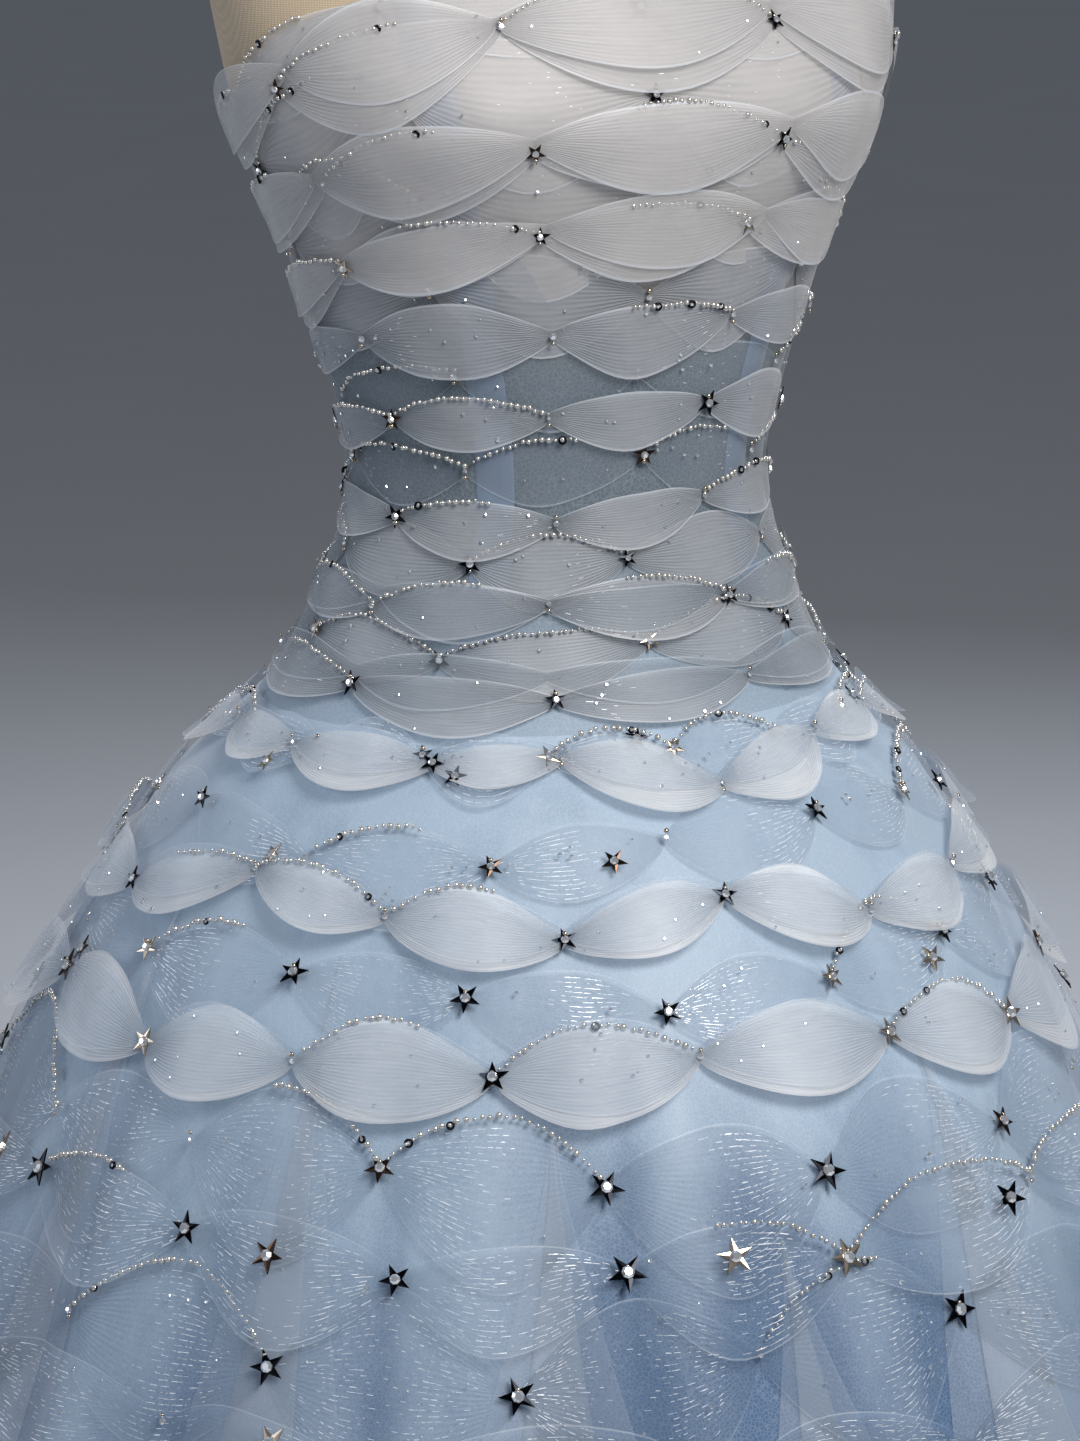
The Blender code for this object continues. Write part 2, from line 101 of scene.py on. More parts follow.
FORM_SECTIONS = (
    # height, half_width, front, back, lead
    (1.3680, 0.1990, 0.0800, 0.0900, 0.007),
    (1.3980, 0.1890, 0.0700, 0.0840, 0.005),
    (1.4220, 0.1650, 0.0610, 0.0760, 0.003),
    (1.4400, 0.1270, 0.0570, 0.0680, 0.001),
    (1.4550, 0.0900, 0.0550, 0.0630, 0.000),
    (1.4720, 0.0650, 0.0540, 0.0590, 0.000),
    (1.4950, 0.0565, 0.0530, 0.0560, 0.000),
    (1.5300, 0.0545, 0.0520, 0.0550, 0.000),
)
FORM_HIP_SECTIONS = (
    # height, half_width, front, back, lead
    (0.7700, 0.1180, 0.0860, 0.0900, 0.000),
    (0.7800, 0.1310, 0.0970, 0.1020, 0.000),
    (0.8300, 0.1480, 0.1090, 0.1170, 0.000),
    (0.8900, 0.1540, 0.1140, 0.1230, 0.000),
    (0.9300, 0.1500, 0.1160, 0.1180, 0.000),
)
NECKLINE = (
    # angle, height
    (0.0, 1.318),
    (28.0, 1.331),
    (62.0, 1.312),
    (92.0, 1.272),
    (135.0, 1.246),
    (180.0, 1.240),
)
SKIRT_FOLDS = (
    # angle, spread, depth, start_height
    (-170.0, 9.0, 0.026, 0.86),
    (-146.0, 8.0, 0.034, 0.80),
    (-124.0, 9.0, 0.024, 0.88),
    (-101.0, 8.0, 0.036, 0.82),
    (-79.0, 9.0, 0.028, 0.87),
    (-58.0, 8.0, 0.032, 0.80),
    (-41.0, 7.0, 0.024, 0.86),
    (-22.0, 7.5, 0.040, 0.88),
    (-3.0, 7.0, 0.030, 0.84),
    (12.0, 6.5, 0.040, 0.86),
    (34.0, 8.0, 0.028, 0.82),
    (55.0, 8.5, 0.036, 0.87),
    (78.0, 9.0, 0.026, 0.80),
    (99.0, 8.0, 0.034, 0.86),
    (123.0, 9.0, 0.028, 0.82),
    (148.0, 8.5, 0.036, 0.87),
)
PAINTED_FOLD_SHADES = (
    # angle, spread, tone, start_height: painted shade where folds close over one another, darkening the
    # cloth's colour
    (-7.0, 10.0, 1.25, 0.790),
    (20.0, 8.0, 0.55, 0.740),
    (-52.0, 7.0, 0.40, 0.760),
    (68.0, 8.0, 0.70, 0.690),
    (110.0, 7.0, 0.50, 0.740),
    (158.0, 8.0, 0.80, 0.700),
    (-158.0, 7.0, 0.45, 0.740),
    (-110.0, 8.0, 0.75, 0.690),
    (-86.0, 6.0, 0.40, 0.760),
)
BODICE_ROWS = (
    # height, half_height, puff
    (1.3000, 0.0270, 0.0070),
    (1.2460, 0.0230, 0.0070),
    (1.1980, 0.0205, 0.0060),
    (1.1540, 0.0185, 0.0055),
    (1.1100, 0.0170, 0.0050),
    (1.0616, 0.0160, 0.0050),
    (1.0130, 0.0155, 0.0055),
    (0.9730, 0.0155, 0.0060),
)
SKIRT_ROWS = (
    # petals, first_pinch_column, height_share_of_width
    (14, 1, 0.46),
    (16, 0, 0.48),
    (16, -1, 0.52),
    (16, 1, 0.50),
    (15, 2, 0.50),
    (16, 0, 0.50),
    (15, 1, 0.50),
    (14, -1, 0.50),
    (14, 2, 0.50),
)
SKIRT_COLUMN = 360.0 / 64
FIRST_ROW_SLOPE = 0.028
FIRST_STEP = 0.074
STEP_GROWTH = 1.12
BODICE_PITCH = 45.0
BODICE_ROW_END = 172.5
PINCH_HALF_HEIGHT = 0.004
CENTRE_BACK_CLEAR = 171.0
BEAD_SHAKE = 0.0006
# A wave texture at a scale of 1 has this many bands to a metre.
BANDS_AT_SCALE_1 = 3.183


class BraidKind(Enum):
    """How a chain of pinched braid looks."""

    WHITE = "white"
    SHEER = "sheer"
    CLEAR = "clear"
    SMOKE = "smoke"
    PEARL = "pearl"


class Tier(Enum):
    """Which part of the gown a chain is sewn to."""

    BODICE = "bodice"
    SKIRT = "skirt"


FAINT_BRAIDS = (BraidKind.CLEAR, BraidKind.SMOKE)


# Small tools


def linear_colour(code: str, alpha: float = 1.0) -> tuple[float, float, float, float]:
    """Turns an sRGB hex value into the linear colour that a shader takes.

    Args:
        code: six hex digits after a hash.
        alpha: the fourth number.

    Returns:
        Red, green, blue and alpha.
    """
    parts = [int(code[i : i + 2], 16) / 255 for i in (1, 3, 5)]
    red, green, blue = (c / 12.92 if c <= 0.04045 else ((c + 0.055) / 1.055) ** 2.4 for c in parts)
    return (red, green, blue, alpha)


def add_node(
    tree: Tree,
    kind: str,
    inputs: dict[str | int, object] | None = None,
    **settings: object,
) -> Node:
    """Adds a node, sets it up and fills or links its inputs.

    Args:
        tree: the node tree.
        kind: the node's type name.
        inputs: socket names or numbers, to values or to output sockets.
        settings: the node's own properties.

    Returns:
        The node.
    """
    node = tree.nodes.new(kind)
    for name, value in settings.items():
        setattr(node, name, value)
    for key, value in (inputs or {}).items():
        if isinstance(value, Socket):
            tree.links.new(value, node.inputs[key])
        else:
            node.inputs[key].default_value = value
    return node


def read_table(table: tuple[tuple[float, ...], ...], column: int, at: Array | float) -> Array:
    """Reads smooth values from a table whose first column is the place.

    Args:
        table: the rows, in either order.
        column: the column to read.
        at: places.

    Returns:
        A value for each place.
    """
    rows = np.array(sorted(table), dtype=float)
    x, y = rows[:, 0], rows[:, column]
    before = np.maximum(np.arange(len(x)) - 1, 0)
    after = np.minimum(np.arange(len(x)) + 1, len(x) - 1)
    slope = (y[after] - y[before]) / (x[after] - x[before])
    place = np.clip(np.asarray(at, dtype=float), x[0], x[-1])
    low = np.clip(np.searchsorted(x, place, side="right") - 1, 0, len(x) - 2)
    span = x[low + 1] - x[low]
    t = (place - x[low]) / span
    return (
        y[low] * (2 * t**3 - 3 * t**2 + 1)
        + slope[low] * span * (t**3 - 2 * t**2 + t)
        + y[low + 1] * (3 * t**2 - 2 * t**3)
        + slope[low + 1] * span * (t**3 - t**2)
    )


def bell(distance: Array, spread: Array | float) -> Array:
    """A smooth bump of 1 at no distance."""
    return np.exp(-((distance / spread) ** 2))


def turned(degrees: Array | float) -> Array:
    """Brings angles to between -180 and 180."""
    return (np.asarray(degrees, dtype=float) + 180.0) % 360.0 - 180.0


def units(vectors: Array) -> Array:
    """Vectors brought to a length of 1."""
    return vectors / np.linalg.norm(vectors, axis=-1, keepdims=True)


def grid_faces(columns: int, rows: int, closed: bool = False, first: int = 0) -> list[tuple[int, ...]]:
    """Faces of a sheet whose points run up each column in turn, seen from outside.

    Args:
        columns: how many columns of points.
        rows: how many points in each.
        closed: whether the last column joins the first.
        first: the number of the first point.

    Returns:
        Quads that face out where the columns run towards the wearer's left.
    """
    faces = []
    for column in range(columns if closed else columns - 1):
        here = first + column * rows
        there = first + (column + 1) % columns * rows
        for row in range(rows - 1):
            faces.append((here + row, there + row, there + row + 1, here + row + 1))
    return faces


def ring_angles(columns: int, rows: int) -> Array:
    """The angle of every point of a closed sheet, in degrees."""
    return np.repeat(np.arange(columns)[:, None] * 360.0 / columns, rows, axis=1)


def make_piece(
    name: str,
    points: Array,
    faces: list[tuple[int, ...]],
    finish: Material,
    uv: Array | None = None,
    values: dict[str, Array | list[float]] | None = None,
    smooth: bool = True,
    closing_u: float = 0.0,
) -> Piece:
    """Makes a mesh object at the origin.

    Args:
        name: its name.
        points: one row of x, y and z for each point.
        faces: point numbers.
        finish: its material.
        uv: one row of u and v for each point, or none.
        values: named numbers, one for each point.
        smooth: whether it is shaded smooth.
        closing_u: what u gains once round, where the piece is a closed ring.

    Returns:
        The object, linked to the scene.
    """
    mesh = bpy.data.meshes.new(name)
    mesh.from_pydata(np.asarray(points, dtype=float).reshape(-1, 3).tolist(), [], faces)
    if uv is not None:
        corner_points = np.empty(len(mesh.loops), dtype=np.int32)
        mesh.loops.foreach_get("vertex_index", corner_points)
        corners = np.asarray(uv, dtype=np.float32).reshape(-1, 2)[corner_points]
        starts = np.array([face.loop_start for face in mesh.polygons])
        counts = np.diff(np.append(starts, len(corners)))
        # A face that closes a ring runs from u near 1 back to 0, so its 0 becomes 1.
        wraps = np.maximum.reduceat(corners[:, 0], starts) - np.minimum.reduceat(corners[:, 0], starts) > 0.5
        corners[:, 0] += (np.repeat(wraps & (closing_u > 0), counts) & (corners[:, 0] < 0.5)) * closing_u
        layer = mesh.uv_layers.new(name="UVMap")
        layer.uv.foreach_set("vector", corners.ravel())
    for key, numbers in (values or {}).items():
        attribute = mesh.attributes.new(key, "FLOAT", "POINT")
        attribute.data.foreach_set("value", np.asarray(numbers, dtype=np.float32).ravel())
    mesh.materials.append(finish)
    mesh.polygons.foreach_set("use_smooth", np.full(len(mesh.polygons), smooth))
    mesh.update()
    piece = bpy.data.objects.new(name, mesh)
    bpy.context.scene.collection.objects.link(piece)
    return piece


def bake_modifiers(piece: Piece) -> None:
    """Turns a piece's modifiers into plain mesh and removes them."""
    graph = bpy.context.evaluated_depsgraph_get()
    mesh = bpy.data.meshes.new_from_object(piece.evaluated_get(graph), depsgraph=graph)
    piece.modifiers.clear()
    piece.data = mesh


def path_length(points: Array, closed: bool = False) -> float:
    """The length of a line of points, in metres."""
    steps = np.diff(np.concatenate([points, points[:1]]) if closed else points, axis=0)
    return float(np.linalg.norm(steps, axis=-1).sum())


def triangle_count(piece: Piece) -> int:
    """How many triangles a piece has."""
    return sum(len(face.vertices) - 2 for face in piece.data.polygons)


def dress(piece: Piece, slot: str, *nodes: str) -> Piece:
    """Hangs a piece on the gown's body and hides the nodes that it stands for."""
    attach(piece, "root")
    if nodes:
        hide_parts(*nodes)
    return piece


# The gown's form


@dataclass(frozen=True)
class GownForm:
    """The smooth form of the cloth, from the tables above."""

    cup_angle: float = 34.0
    cup_spread: float = 20.0
    cup_height: float = 1.264
    cup_rise: float = 0.034
    cup_depth: float = 0.010
    ripple_count: int = 44

    def ripples(self) -> list[tuple[float, float, float, float]]:
        """The small troughs between the main folds: angle, spread, depth and start height."""
        draw = random.Random(SEED)
        step = 360.0 / self.ripple_count
        return [
            (i * step + draw.uniform(-3.0, 3.0), draw.uniform(1.8, 3.6), draw.uniform(0.002, 0.009),
             draw.uniform(0.72, 0.90))
            for i in range(self.ripple_count)
        ]

    @staticmethod
    def oval(table: tuple[tuple[float, ...], ...], degrees: Array, heights: Array) -> tuple[Array, Array]:
        """Points of a table's sections.

        Args:
            table: rows of height, half width, front, back and lead.
            degrees: angles round the gown.
            heights: heights, of the same shape.

        Returns:
            The points and their level outward directions.
        """
        degrees, heights = np.broadcast_arrays(np.asarray(degrees, float), np.asarray(heights, float))
        turn = np.radians(degrees)
        wide, lead = read_table(table, 1, heights), read_table(table, 4, heights)
        ahead = np.cos(turn) >= 0
        deep = np.where(ahead, read_table(table, 2, heights) - lead, read_table(table, 3, heights) + lead)
        points = np.stack([wide * np.sin(turn), -lead - deep * np.cos(turn), heights], axis=-1)
        out = units(np.stack([deep * np.sin(turn), -wide * np.cos(turn), np.zeros_like(turn)], axis=-1))
        return points, out

    def fold_depth(self, degrees: Array, heights: Array) -> Array:
        """How far the skirt's folds draw the cloth in.

        Args:
            degrees: angles round the gown.
            heights: heights.

        Returns:
            Depths in metres.
        """
        depth = np.zeros(np.broadcast(degrees, heights).shape)
        for angle, spread, deep, start in (*SKIRT_FOLDS, *RIPPLES):
            fall = np.clip((start - heights) / (start - HEM_HEIGHT), 0.0, None)
            depth = depth + deep * fall**0.8 * bell(turned(degrees - angle), spread)
        return depth

    def fold_shade(self, degrees: Array, heights: Array) -> Array:
        """How far into a fold a place lies for its height, from 0 on a crest to 1 in a deep trough: the share
        of painted shade in the tulle's and skirt petals' colour.
        """
        kinds = (
            # troughs, weight of their depth, share of the spread, rise of the start, height to grow in
            (SKIRT_FOLDS, 1 / 0.045, 0.9, 0.02, 0.30),
            (RIPPLES, 0.38 / 0.009, 1.0, 0.0, 0.25),
            (PAINTED_FOLD_SHADES, 1.0, 1.0, 0.0, 0.15),
        )
        shade = np.zeros(np.broadcast(degrees, heights).shape)
        for troughs, weight, share, rise, growth in kinds:
            for angle, spread, deep, start in troughs:
                fall = np.clip((start + rise - heights) / growth, 0.0, 1.0)
                shade = shade + deep * weight * fall * bell(turned(degrees - angle), spread * share)
        return np.clip(shade, 0.0, 1.0)

    def cups(self, degrees: Array, heights: Array) -> Array:
        """How far the bust cups stand out."""
        side = np.abs(turned(degrees)) - self.cup_angle
        return self.cup_depth * bell(heights - self.cup_height, self.cup_rise) * bell(side, self.cup_spread)

    def outward(self, degrees: Array, heights: Array) -> Array:
        """The cloth's outward directions, tilted with its slope.

        Args:
            degrees: angles round the gown.
            heights: heights, of the same shape.

        Returns:
            Unit vectors.
        """
        high = np.minimum(heights + 0.004, LOOKUP_HEIGHT)
        low = np.maximum(heights - 0.004, HEM_HEIGHT)
        upper, out = self.oval(GOWN_SECTIONS, degrees, high)
        lower, _ = self.oval(GOWN_SECTIONS, degrees, low)
        rise = np.where(np.abs(high - low) < 1e-6, 1.0, high - low)
        lean = np.sum((lower - upper) * out, axis=-1) / rise
        tilted = out.copy()
        tilted[..., 2] = lean
        return units(tilted)

    def surface(self, degrees: Array, heights: Array, stand: Array | float = 0.0) -> Array:
        """Points that stand off the cloth.

        Args:
            degrees: angles round the gown.
            heights: heights.
            stand: how far out of the cloth, in metres.

        Returns:
            Points.
        """
        degrees, heights, stand = np.broadcast_arrays(
            np.asarray(degrees, float), np.asarray(heights, float), np.asarray(stand, float)
        )
        points, out = self.oval(GOWN_SECTIONS, degrees, heights)
        swell = self.cups(degrees, heights) - self.fold_depth(degrees, heights)
        points = points + out * swell[..., None]
        return points + self.outward(degrees, heights) * stand[..., None]

    @staticmethod
    def neck_share(degrees: Array | float) -> Array:
        """The neckline's height above the waist, as a share of that at the centre front."""
        height = read_table(NECKLINE, 1, np.abs(turned(degrees)))
        return (height - WAIST_HEIGHT) / (FRONT_NECK_HEIGHT - WAIST_HEIGHT)

    def lowered(self, height: Array | float, degrees: Array | float) -> Array:
        """A height at the centre front of the bodice, taken round as the neckline falls."""
        height = np.asarray(height, float)
        above = np.maximum(height - WAIST_HEIGHT, 0.0) * self.neck_share(degrees)
        return np.where(height <= WAIST_HEIGHT, height, WAIST_HEIGHT + above)

    @staticmethod
    def skirt_row_heights() -> list[float]:
        """The heights of the skirt's chains, stepped down its slope."""
        wanted, step = FIRST_ROW_SLOPE, FIRST_STEP
        travelled, height, found = 0.0, SEAM_HEIGHT, []
        while len(found) < len(SKIRT_ROWS):
            near = float(read_table(GOWN_SECTIONS, 1, height))
            far = float(read_table(GOWN_SECTIONS, 1, height - 0.0005))
            travelled += math.hypot(far - near, 0.0005)
            height -= 0.0005
            if travelled >= wanted:
                found.append(height)
                wanted += step
                step *= STEP_GROWTH
        return found


FORM = GownForm()
RIPPLES = tuple(FORM.ripples())


# Finishes


def principled(name: str, **inputs: object) -> tuple[Material, Tree, Node]:
    """Makes a material with one shader.

    Args:
        name: the material's name.
        inputs: the shader's sockets, with underscores for spaces.

    Returns:
        The material, its node tree and its shader.
    """
    made = bpy.data.materials.new(name)
    made.use_nodes = True
    tree = made.node_tree
    shader = tree.nodes["Principled BSDF"]
    for key, value in inputs.items():
        shader.inputs[key.replace("_", " ")].default_value = value
    return made, tree, shader


def maths(tree: Tree, operation: str, *numbers: Socket | float, clamp: bool = False) -> Socket:
    """Adds a maths node and gives its result."""
    inputs = dict(enumerate(numbers))
    return add_node(tree, "ShaderNodeMath", inputs, operation=operation, use_clamp=clamp).outputs[0]


def remapped(tree: Tree, value: Socket, source: Pair, target: Pair = (0.0, 1.0)) -> Socket:
    """Carries a value from one range to another, clamped at its ends."""
    ends = {"From Min": source[0], "From Max": source[1], "To Min": target[0], "To Max": target[1]}
    return add_node(tree, "ShaderNodeMapRange", {"Value": value, **ends}).outputs["Result"]


def object_place(tree: Tree) -> Socket:
    """The place on the object, in metres."""
    return add_node(tree, "ShaderNodeTexCoord").outputs["Object"]


def part_of(tree: Tree, vector: Socket, axis: str) -> Socket:
    """One of a vector's three numbers."""
    return add_node(tree, "ShaderNodeSeparateXYZ", {0: vector}).outputs[axis]


def stretched(tree: Tree, vector: Socket, scale: tuple[float, float, float]) -> Socket:
    """Scales a place, so that the pattern on it is drawn out."""
    return add_node(tree, "ShaderNodeMapping", {"Vector": vector, "Scale": scale}).outputs[0]


def noise(tree: Tree, place: Socket, scale: float, detail: float, roughness: float = 0.5) -> Socket:
    """Adds soft noise."""
    inputs = {"Vector": place, "Scale": scale, "Detail": detail, "Roughness": roughness}
    return add_node(tree, "ShaderNodeTexNoise", inputs).outputs["Fac"]


def bands(
    tree: Tree, place: Socket, scale: float, way: str, distortion: float, detail: float, fine: float = 1.0
) -> Socket:
    """Adds soft bands that follow one another along an axis, with a wavering of some detail and fineness."""
    waver = {"Distortion": distortion, "Detail": detail, "Detail Scale": fine}
    inputs = {"Vector": place, "Scale": scale, **waver}
    return add_node(tree, "ShaderNodeTexWave", inputs, bands_direction=way).outputs["Fac"]


def mixed(tree: Tree, factor: Socket, first: Socket | str, second: Socket | str) -> Socket:
    """Mixes two colours, each a socket or a hex value, by a factor from 0 to 1."""
    pair = [linear_colour(colour) if isinstance(colour, str) else colour for colour in (first, second)]
    return add_node(tree, "ShaderNodeMix", {0: factor, 6: pair[0], 7: pair[1]}, data_type="RGBA").outputs[2]


def set_colour(tree: Tree, shader: Node, colour: Socket) -> None:
    """Links a colour to the shader."""
    tree.links.new(colour, shader.inputs["Base Color"])


def set_bump(tree: Tree, shader: Node, height: Socket, strength: float, deep: float) -> None:
    """Links a height from 0 to 1 to the shader's normal, as a relief in metres."""
    bump = add_node(tree, "ShaderNodeBump", {"Strength": strength, "Distance": deep, "Height": height})
    tree.links.new(bump.outputs["Normal"], shader.inputs["Normal"])


@dataclass(frozen=True)
class Net:
    """A fine net of pale threads, drawn coarser than life's 1 mm mesh so that it shows."""

    scale: float
    thread: float
    weight: float
    code: str
    strength: float
    relief: float = 0.1 * MM

    def lay(self, tree: Tree, shader: Node, place: Socket, under: Socket) -> None:
        """Lays the net over a colour and sets both on the shader."""
        cells = {"Vector": place, "Scale": self.scale}
        edges = add_node(tree, "ShaderNodeTexVoronoi", cells, feature="DISTANCE_TO_EDGE").outputs["Distance"]
        lines = remapped(tree, edges, (0.0, self.thread), (1.0, 0.0))
        faint = maths(tree, "MULTIPLY", lines, self.weight)
        set_colour(tree, shader, mixed(tree, faint, under, self.code))
        set_bump(tree, shader, lines, self.strength, self.relief)


@dataclass(frozen=True)
class LinenCover:
    """Plain-woven cream linen, the form's cover: the eye sees a matt, dry cloth with slubs."""

    light: str = "#D6CAB6"
    dark: str = "#B5A58D"
    thread: float = 1.1 * MM
    slub_scale: float = 160.0
    relief: float = 0.25 * MM

    def build(self) -> Material:
        """Builds the material, its threads drawn about twice as coarse as life so that they show."""
        made, tree, shader = principled("linen_plain_weave", Roughness=0.85, IOR=1.5)
        place = object_place(tree)
        scale = 1.0 / self.thread / BANDS_AT_SCALE_1
        weave = maths(tree, "MULTIPLY", *(bands(tree, place, scale, way, 1.2, 1.0) for way in ("X", "Z")))
        slub = maths(tree, "MULTIPLY", noise(tree, place, self.slub_scale, 4.0), weave)
        set_colour(tree, shader, mixed(tree, slub, self.dark, self.light))
        set_bump(tree, shader, weave, 0.5, self.relief)
        return made


@dataclass(frozen=True)
class BodiceMesh:
    """Fine power mesh over a pale lining: the eye sees it warm at the bust and blue-grey at the waist, its
    darker tones under the bust and at the waist partly painted shade.
    """

    bust: str = "#A0A0A1"
    # Darker under the bust and at the waist: partly the lining's own blue-grey, partly painted shade where
    # less light falls.
    under_bust: str = "#757677"
    waist: str = "#5A6975"
    hip: str = "#8FA5BA"
    foot_and_top: Pair = (0.97, 1.36)
    clouding: float = 0.06
    net: Net = Net(scale=420.0, thread=0.12, weight=0.12, code="#E3E8EE", strength=0.15)

    def build(self) -> Material:
        """Builds the material: the lining's colour changes down the bodice under one net, partly its own
        colour and partly painted shade, darker under the bust and at the waist.
        """
        made, tree, shader = principled("bodice_power_mesh", Roughness=0.6, Sheen_Weight=0.25)
        place = object_place(tree)
        cloud, height = noise(tree, place, 9.0, 3.0), part_of(tree, place, "Z")
        shifted = maths(tree, "MULTIPLY_ADD", cloud, self.clouding, height)
        ramp = add_node(tree, "ShaderNodeValToRGB", {0: remapped(tree, shifted, self.foot_and_top)})
        elements = ramp.color_ramp.elements
        codes = (self.hip, self.waist, self.waist, self.under_bust, self.bust)
        for share, code in zip((0.0, 0.30, 0.48, 0.62, 0.85), codes):
            elements.new(share).color = linear_colour(code)
        for unwanted in (0, -1):
            elements.remove(elements[unwanted])
        self.net.lay(tree, shader, place, ramp.outputs["Color"])
        return made


@dataclass(frozen=True)
class SkirtTulle:
    """Layers of sky-blue tulle: the eye sees them paler on a fold's crest and deeper where a fold turns in
    and towards the hem, that deeper blue painted shade together with the colour of more layers.
    """

    # The colour on a fold's crest, and the colour of the painted shade in its trough.
    crest: str = "#9DB3C8"
    fold_shade_colour: str = "#46658A"
    streaking: float = 0.22
    # How far the colour deepens towards the hem: painted shade where less light reaches, with the deeper
    # colour of more layers.
    hem_shading: float = 0.30
    net: Net = Net(scale=480.0, thread=0.14, weight=0.14, code="#DCE8F4", strength=0.1)

    def build(self) -> Material:
        """Builds the material: painted shade from the fold attribute and towards the hem, with long soft
        streaks and a fine net.
        """
        made, tree, shader = principled(
            "tulle_layers_sky_blue", Roughness=0.55, Sheen_Weight=0.4, Sheen_Roughness=0.4
        )
        place = object_place(tree)
        # Painted shade: the fold attribute pulls the colour towards the trough's darker blue.
        fold = add_node(tree, "ShaderNodeAttribute", attribute_name="fold").outputs["Fac"]
        streak = noise(tree, stretched(tree, place, (1.0, 1.0, 0.12)), 26.0, 5.0, 0.6)
        centred = remapped(tree, streak, (0.3, 0.7), (-self.streaking, self.streaking))
        # Painted shade that darkens the colour towards the hem.
        hem_shade = remapped(tree, part_of(tree, place, "Z"), (0.86, 0.52), (0.0, self.hem_shading))
        share = maths(tree, "ADD", fold, maths(tree, "ADD", hem_shade, centred), clamp=True)
        self.net.lay(tree, shader, place, mixed(tree, share, self.crest, self.fold_shade_colour))
        return made


@dataclass(frozen=True)
class HorsehairBraid:
    """Nylon horsehair braid: the eye sees sheer ribs that run together at each pinch, and on the skirt
    painted shade that darkens it in the folds' troughs.
    """

    kind: BraidKind
    light: str
    dark: str
    alpha: float
    ribs: int
    ribbing: float
    # Painted shade: the blue that the colour is pulled towards in the skirt's fold troughs, and how strongly.
    shade: str = "#5F7FA2"
    fold_shading: float = 0.6
    relief: float = 0.4 * MM

    def build(self) -> Material:
        """Builds the material from the piece's UV map: v runs across the ribs and u along them.

        Each petal has a fixed count of ribs, coarser than life so that they show. Against a guess of
        0.8 mm for life, they are two to six times too far apart on the bodice and up to eleven on the skirt.
        """
        made, tree, shader = principled(
            f"horsehair_braid_{self.kind.value}",
            Roughness=0.46, IOR=1.5, Alpha=self.alpha, Sheen_Weight=0.4, Sheen_Roughness=0.4,
        )
        uv = add_node(tree, "ShaderNodeUVMap", uv_map="UVMap").outputs["UV"]
        ribs = bands(tree, stretched(tree, uv, (0.35, 1.0, 1.0)), self.ribs / BANDS_AT_SCALE_1, "Y", 0.4, 2.0)
        along = maths(tree, "FRACT", part_of(tree, uv, "X"))
        from_middle = maths(tree, "ABSOLUTE", maths(tree, "SUBTRACT", along, 0.5))
        gathered = remapped(tree, from_middle, (0.10, 0.46), (self.ribbing * 0.18, self.ribbing))
        lined = maths(tree, "MULTIPLY", ribs, gathered)
        cloud = noise(tree, stretched(tree, uv, (5.0, 16.0, 1.0)), 1.0, 5.0, 0.65)
        clouded = remapped(tree, cloud, (0.35, 0.75), (-0.08, 0.22))
        colour = mixed(tree, maths(tree, "ADD", lined, clouded, clamp=True), self.light, self.dark)
        # Painted shade from the fold attribute: darker blue in the skirt's troughs.
        fold = add_node(tree, "ShaderNodeAttribute", attribute_name="fold").outputs["Fac"]
        fold_shaded = maths(tree, "MULTIPLY", fold, self.fold_shading)
        set_colour(tree, shader, mixed(tree, fold_shaded, colour, self.shade))
        set_bump(tree, shader, lined, 0.8, self.relief)
        return made


@dataclass(frozen=True)
class PlainFinish:
    """A finish with no pattern but a faint unevenness: satin ribbon, metal, glass or paint."""

    name: str
    colour: str
    roughness: float
    metallic: float = 0.0
    coat: float = 0.0
    alpha: float = 1.0
    sheen: float = 0.0
    glow: float = 0.0
    grain: float = 300.0
    uneven: float = 0.15
    darkest: float = 0.45

    def build(self) -> Material:
        """Builds the material: its colour varies by a little noise at its grain."""
        colour = linear_colour(self.colour)
        made, tree, shader = principled(
            self.name, Roughness=self.roughness, Metallic=self.metallic, Coat_Weight=self.coat,
            Alpha=self.alpha, Sheen_Weight=self.sheen, Emission_Strength=self.glow, Emission_Color=colour,
        )
        factor = maths(tree, "MULTIPLY", noise(tree, object_place(tree), self.grain, 2.0), self.uneven)
        shade = tuple(self.darkest * part for part in colour[:3]) + (1.0,)
        mix = add_node(tree, "ShaderNodeMix", {0: factor, 6: colour, 7: shade}, data_type="RGBA")
        set_colour(tree, shader, mix.outputs[2])
        return made


@dataclass(frozen=True)
class TurnedWood:
    """Varnished beech, turned: the eye sees growth rings under a satin coat."""

    light: str = "#7A4F2C"
    dark: str = "#4A2B15"
    relief: float = 0.1 * MM

    def build(self) -> Material:
        """Builds the material from rings across the grain."""
        made, tree, shader = principled(
            "beech_turned_varnished", Roughness=0.35, Coat_Weight=0.5, Coat_Roughness=0.2
        )
        rings = bands(tree, object_place(tree), 45.0, "X", 5.0, 3.0, 0.6)
        set_colour(tree, shader, mixed(tree, rings, self.dark, self.light))
        set_bump(tree, shader, rings, 0.1, self.relief)
        return made


# Light colour, dark colour, opacity, ribs to a petal and how strongly they show.
BRAIDS = (
    # Near-white petals, the skirt's brightest.
    HorsehairBraid(BraidKind.WHITE, "#F1F5F8", "#8C9DB1", 0.54, 24, 0.80),
    # Pale grey over the bust.
    HorsehairBraid(BraidKind.SHEER, "#D0D1D3", "#8F949B", 0.46, 20, 0.60),
    # Grey with a pearly sheen, from the ribs to the hip.
    HorsehairBraid(BraidKind.PEARL, "#B4BAC1", "#66717E", 0.55, 18, 0.85),
    # Almost clear, so that the skirt's blue shows through.
    HorsehairBraid(BraidKind.CLEAR, "#BDCFE1", "#6D89A9", 0.22, 24, 1.0, fold_shading=0.85),
    # A smoky film at the waist.
    HorsehairBraid(BraidKind.SMOKE, "#93A0AD", "#5F6F81", 0.24, 18, 0.9),
)
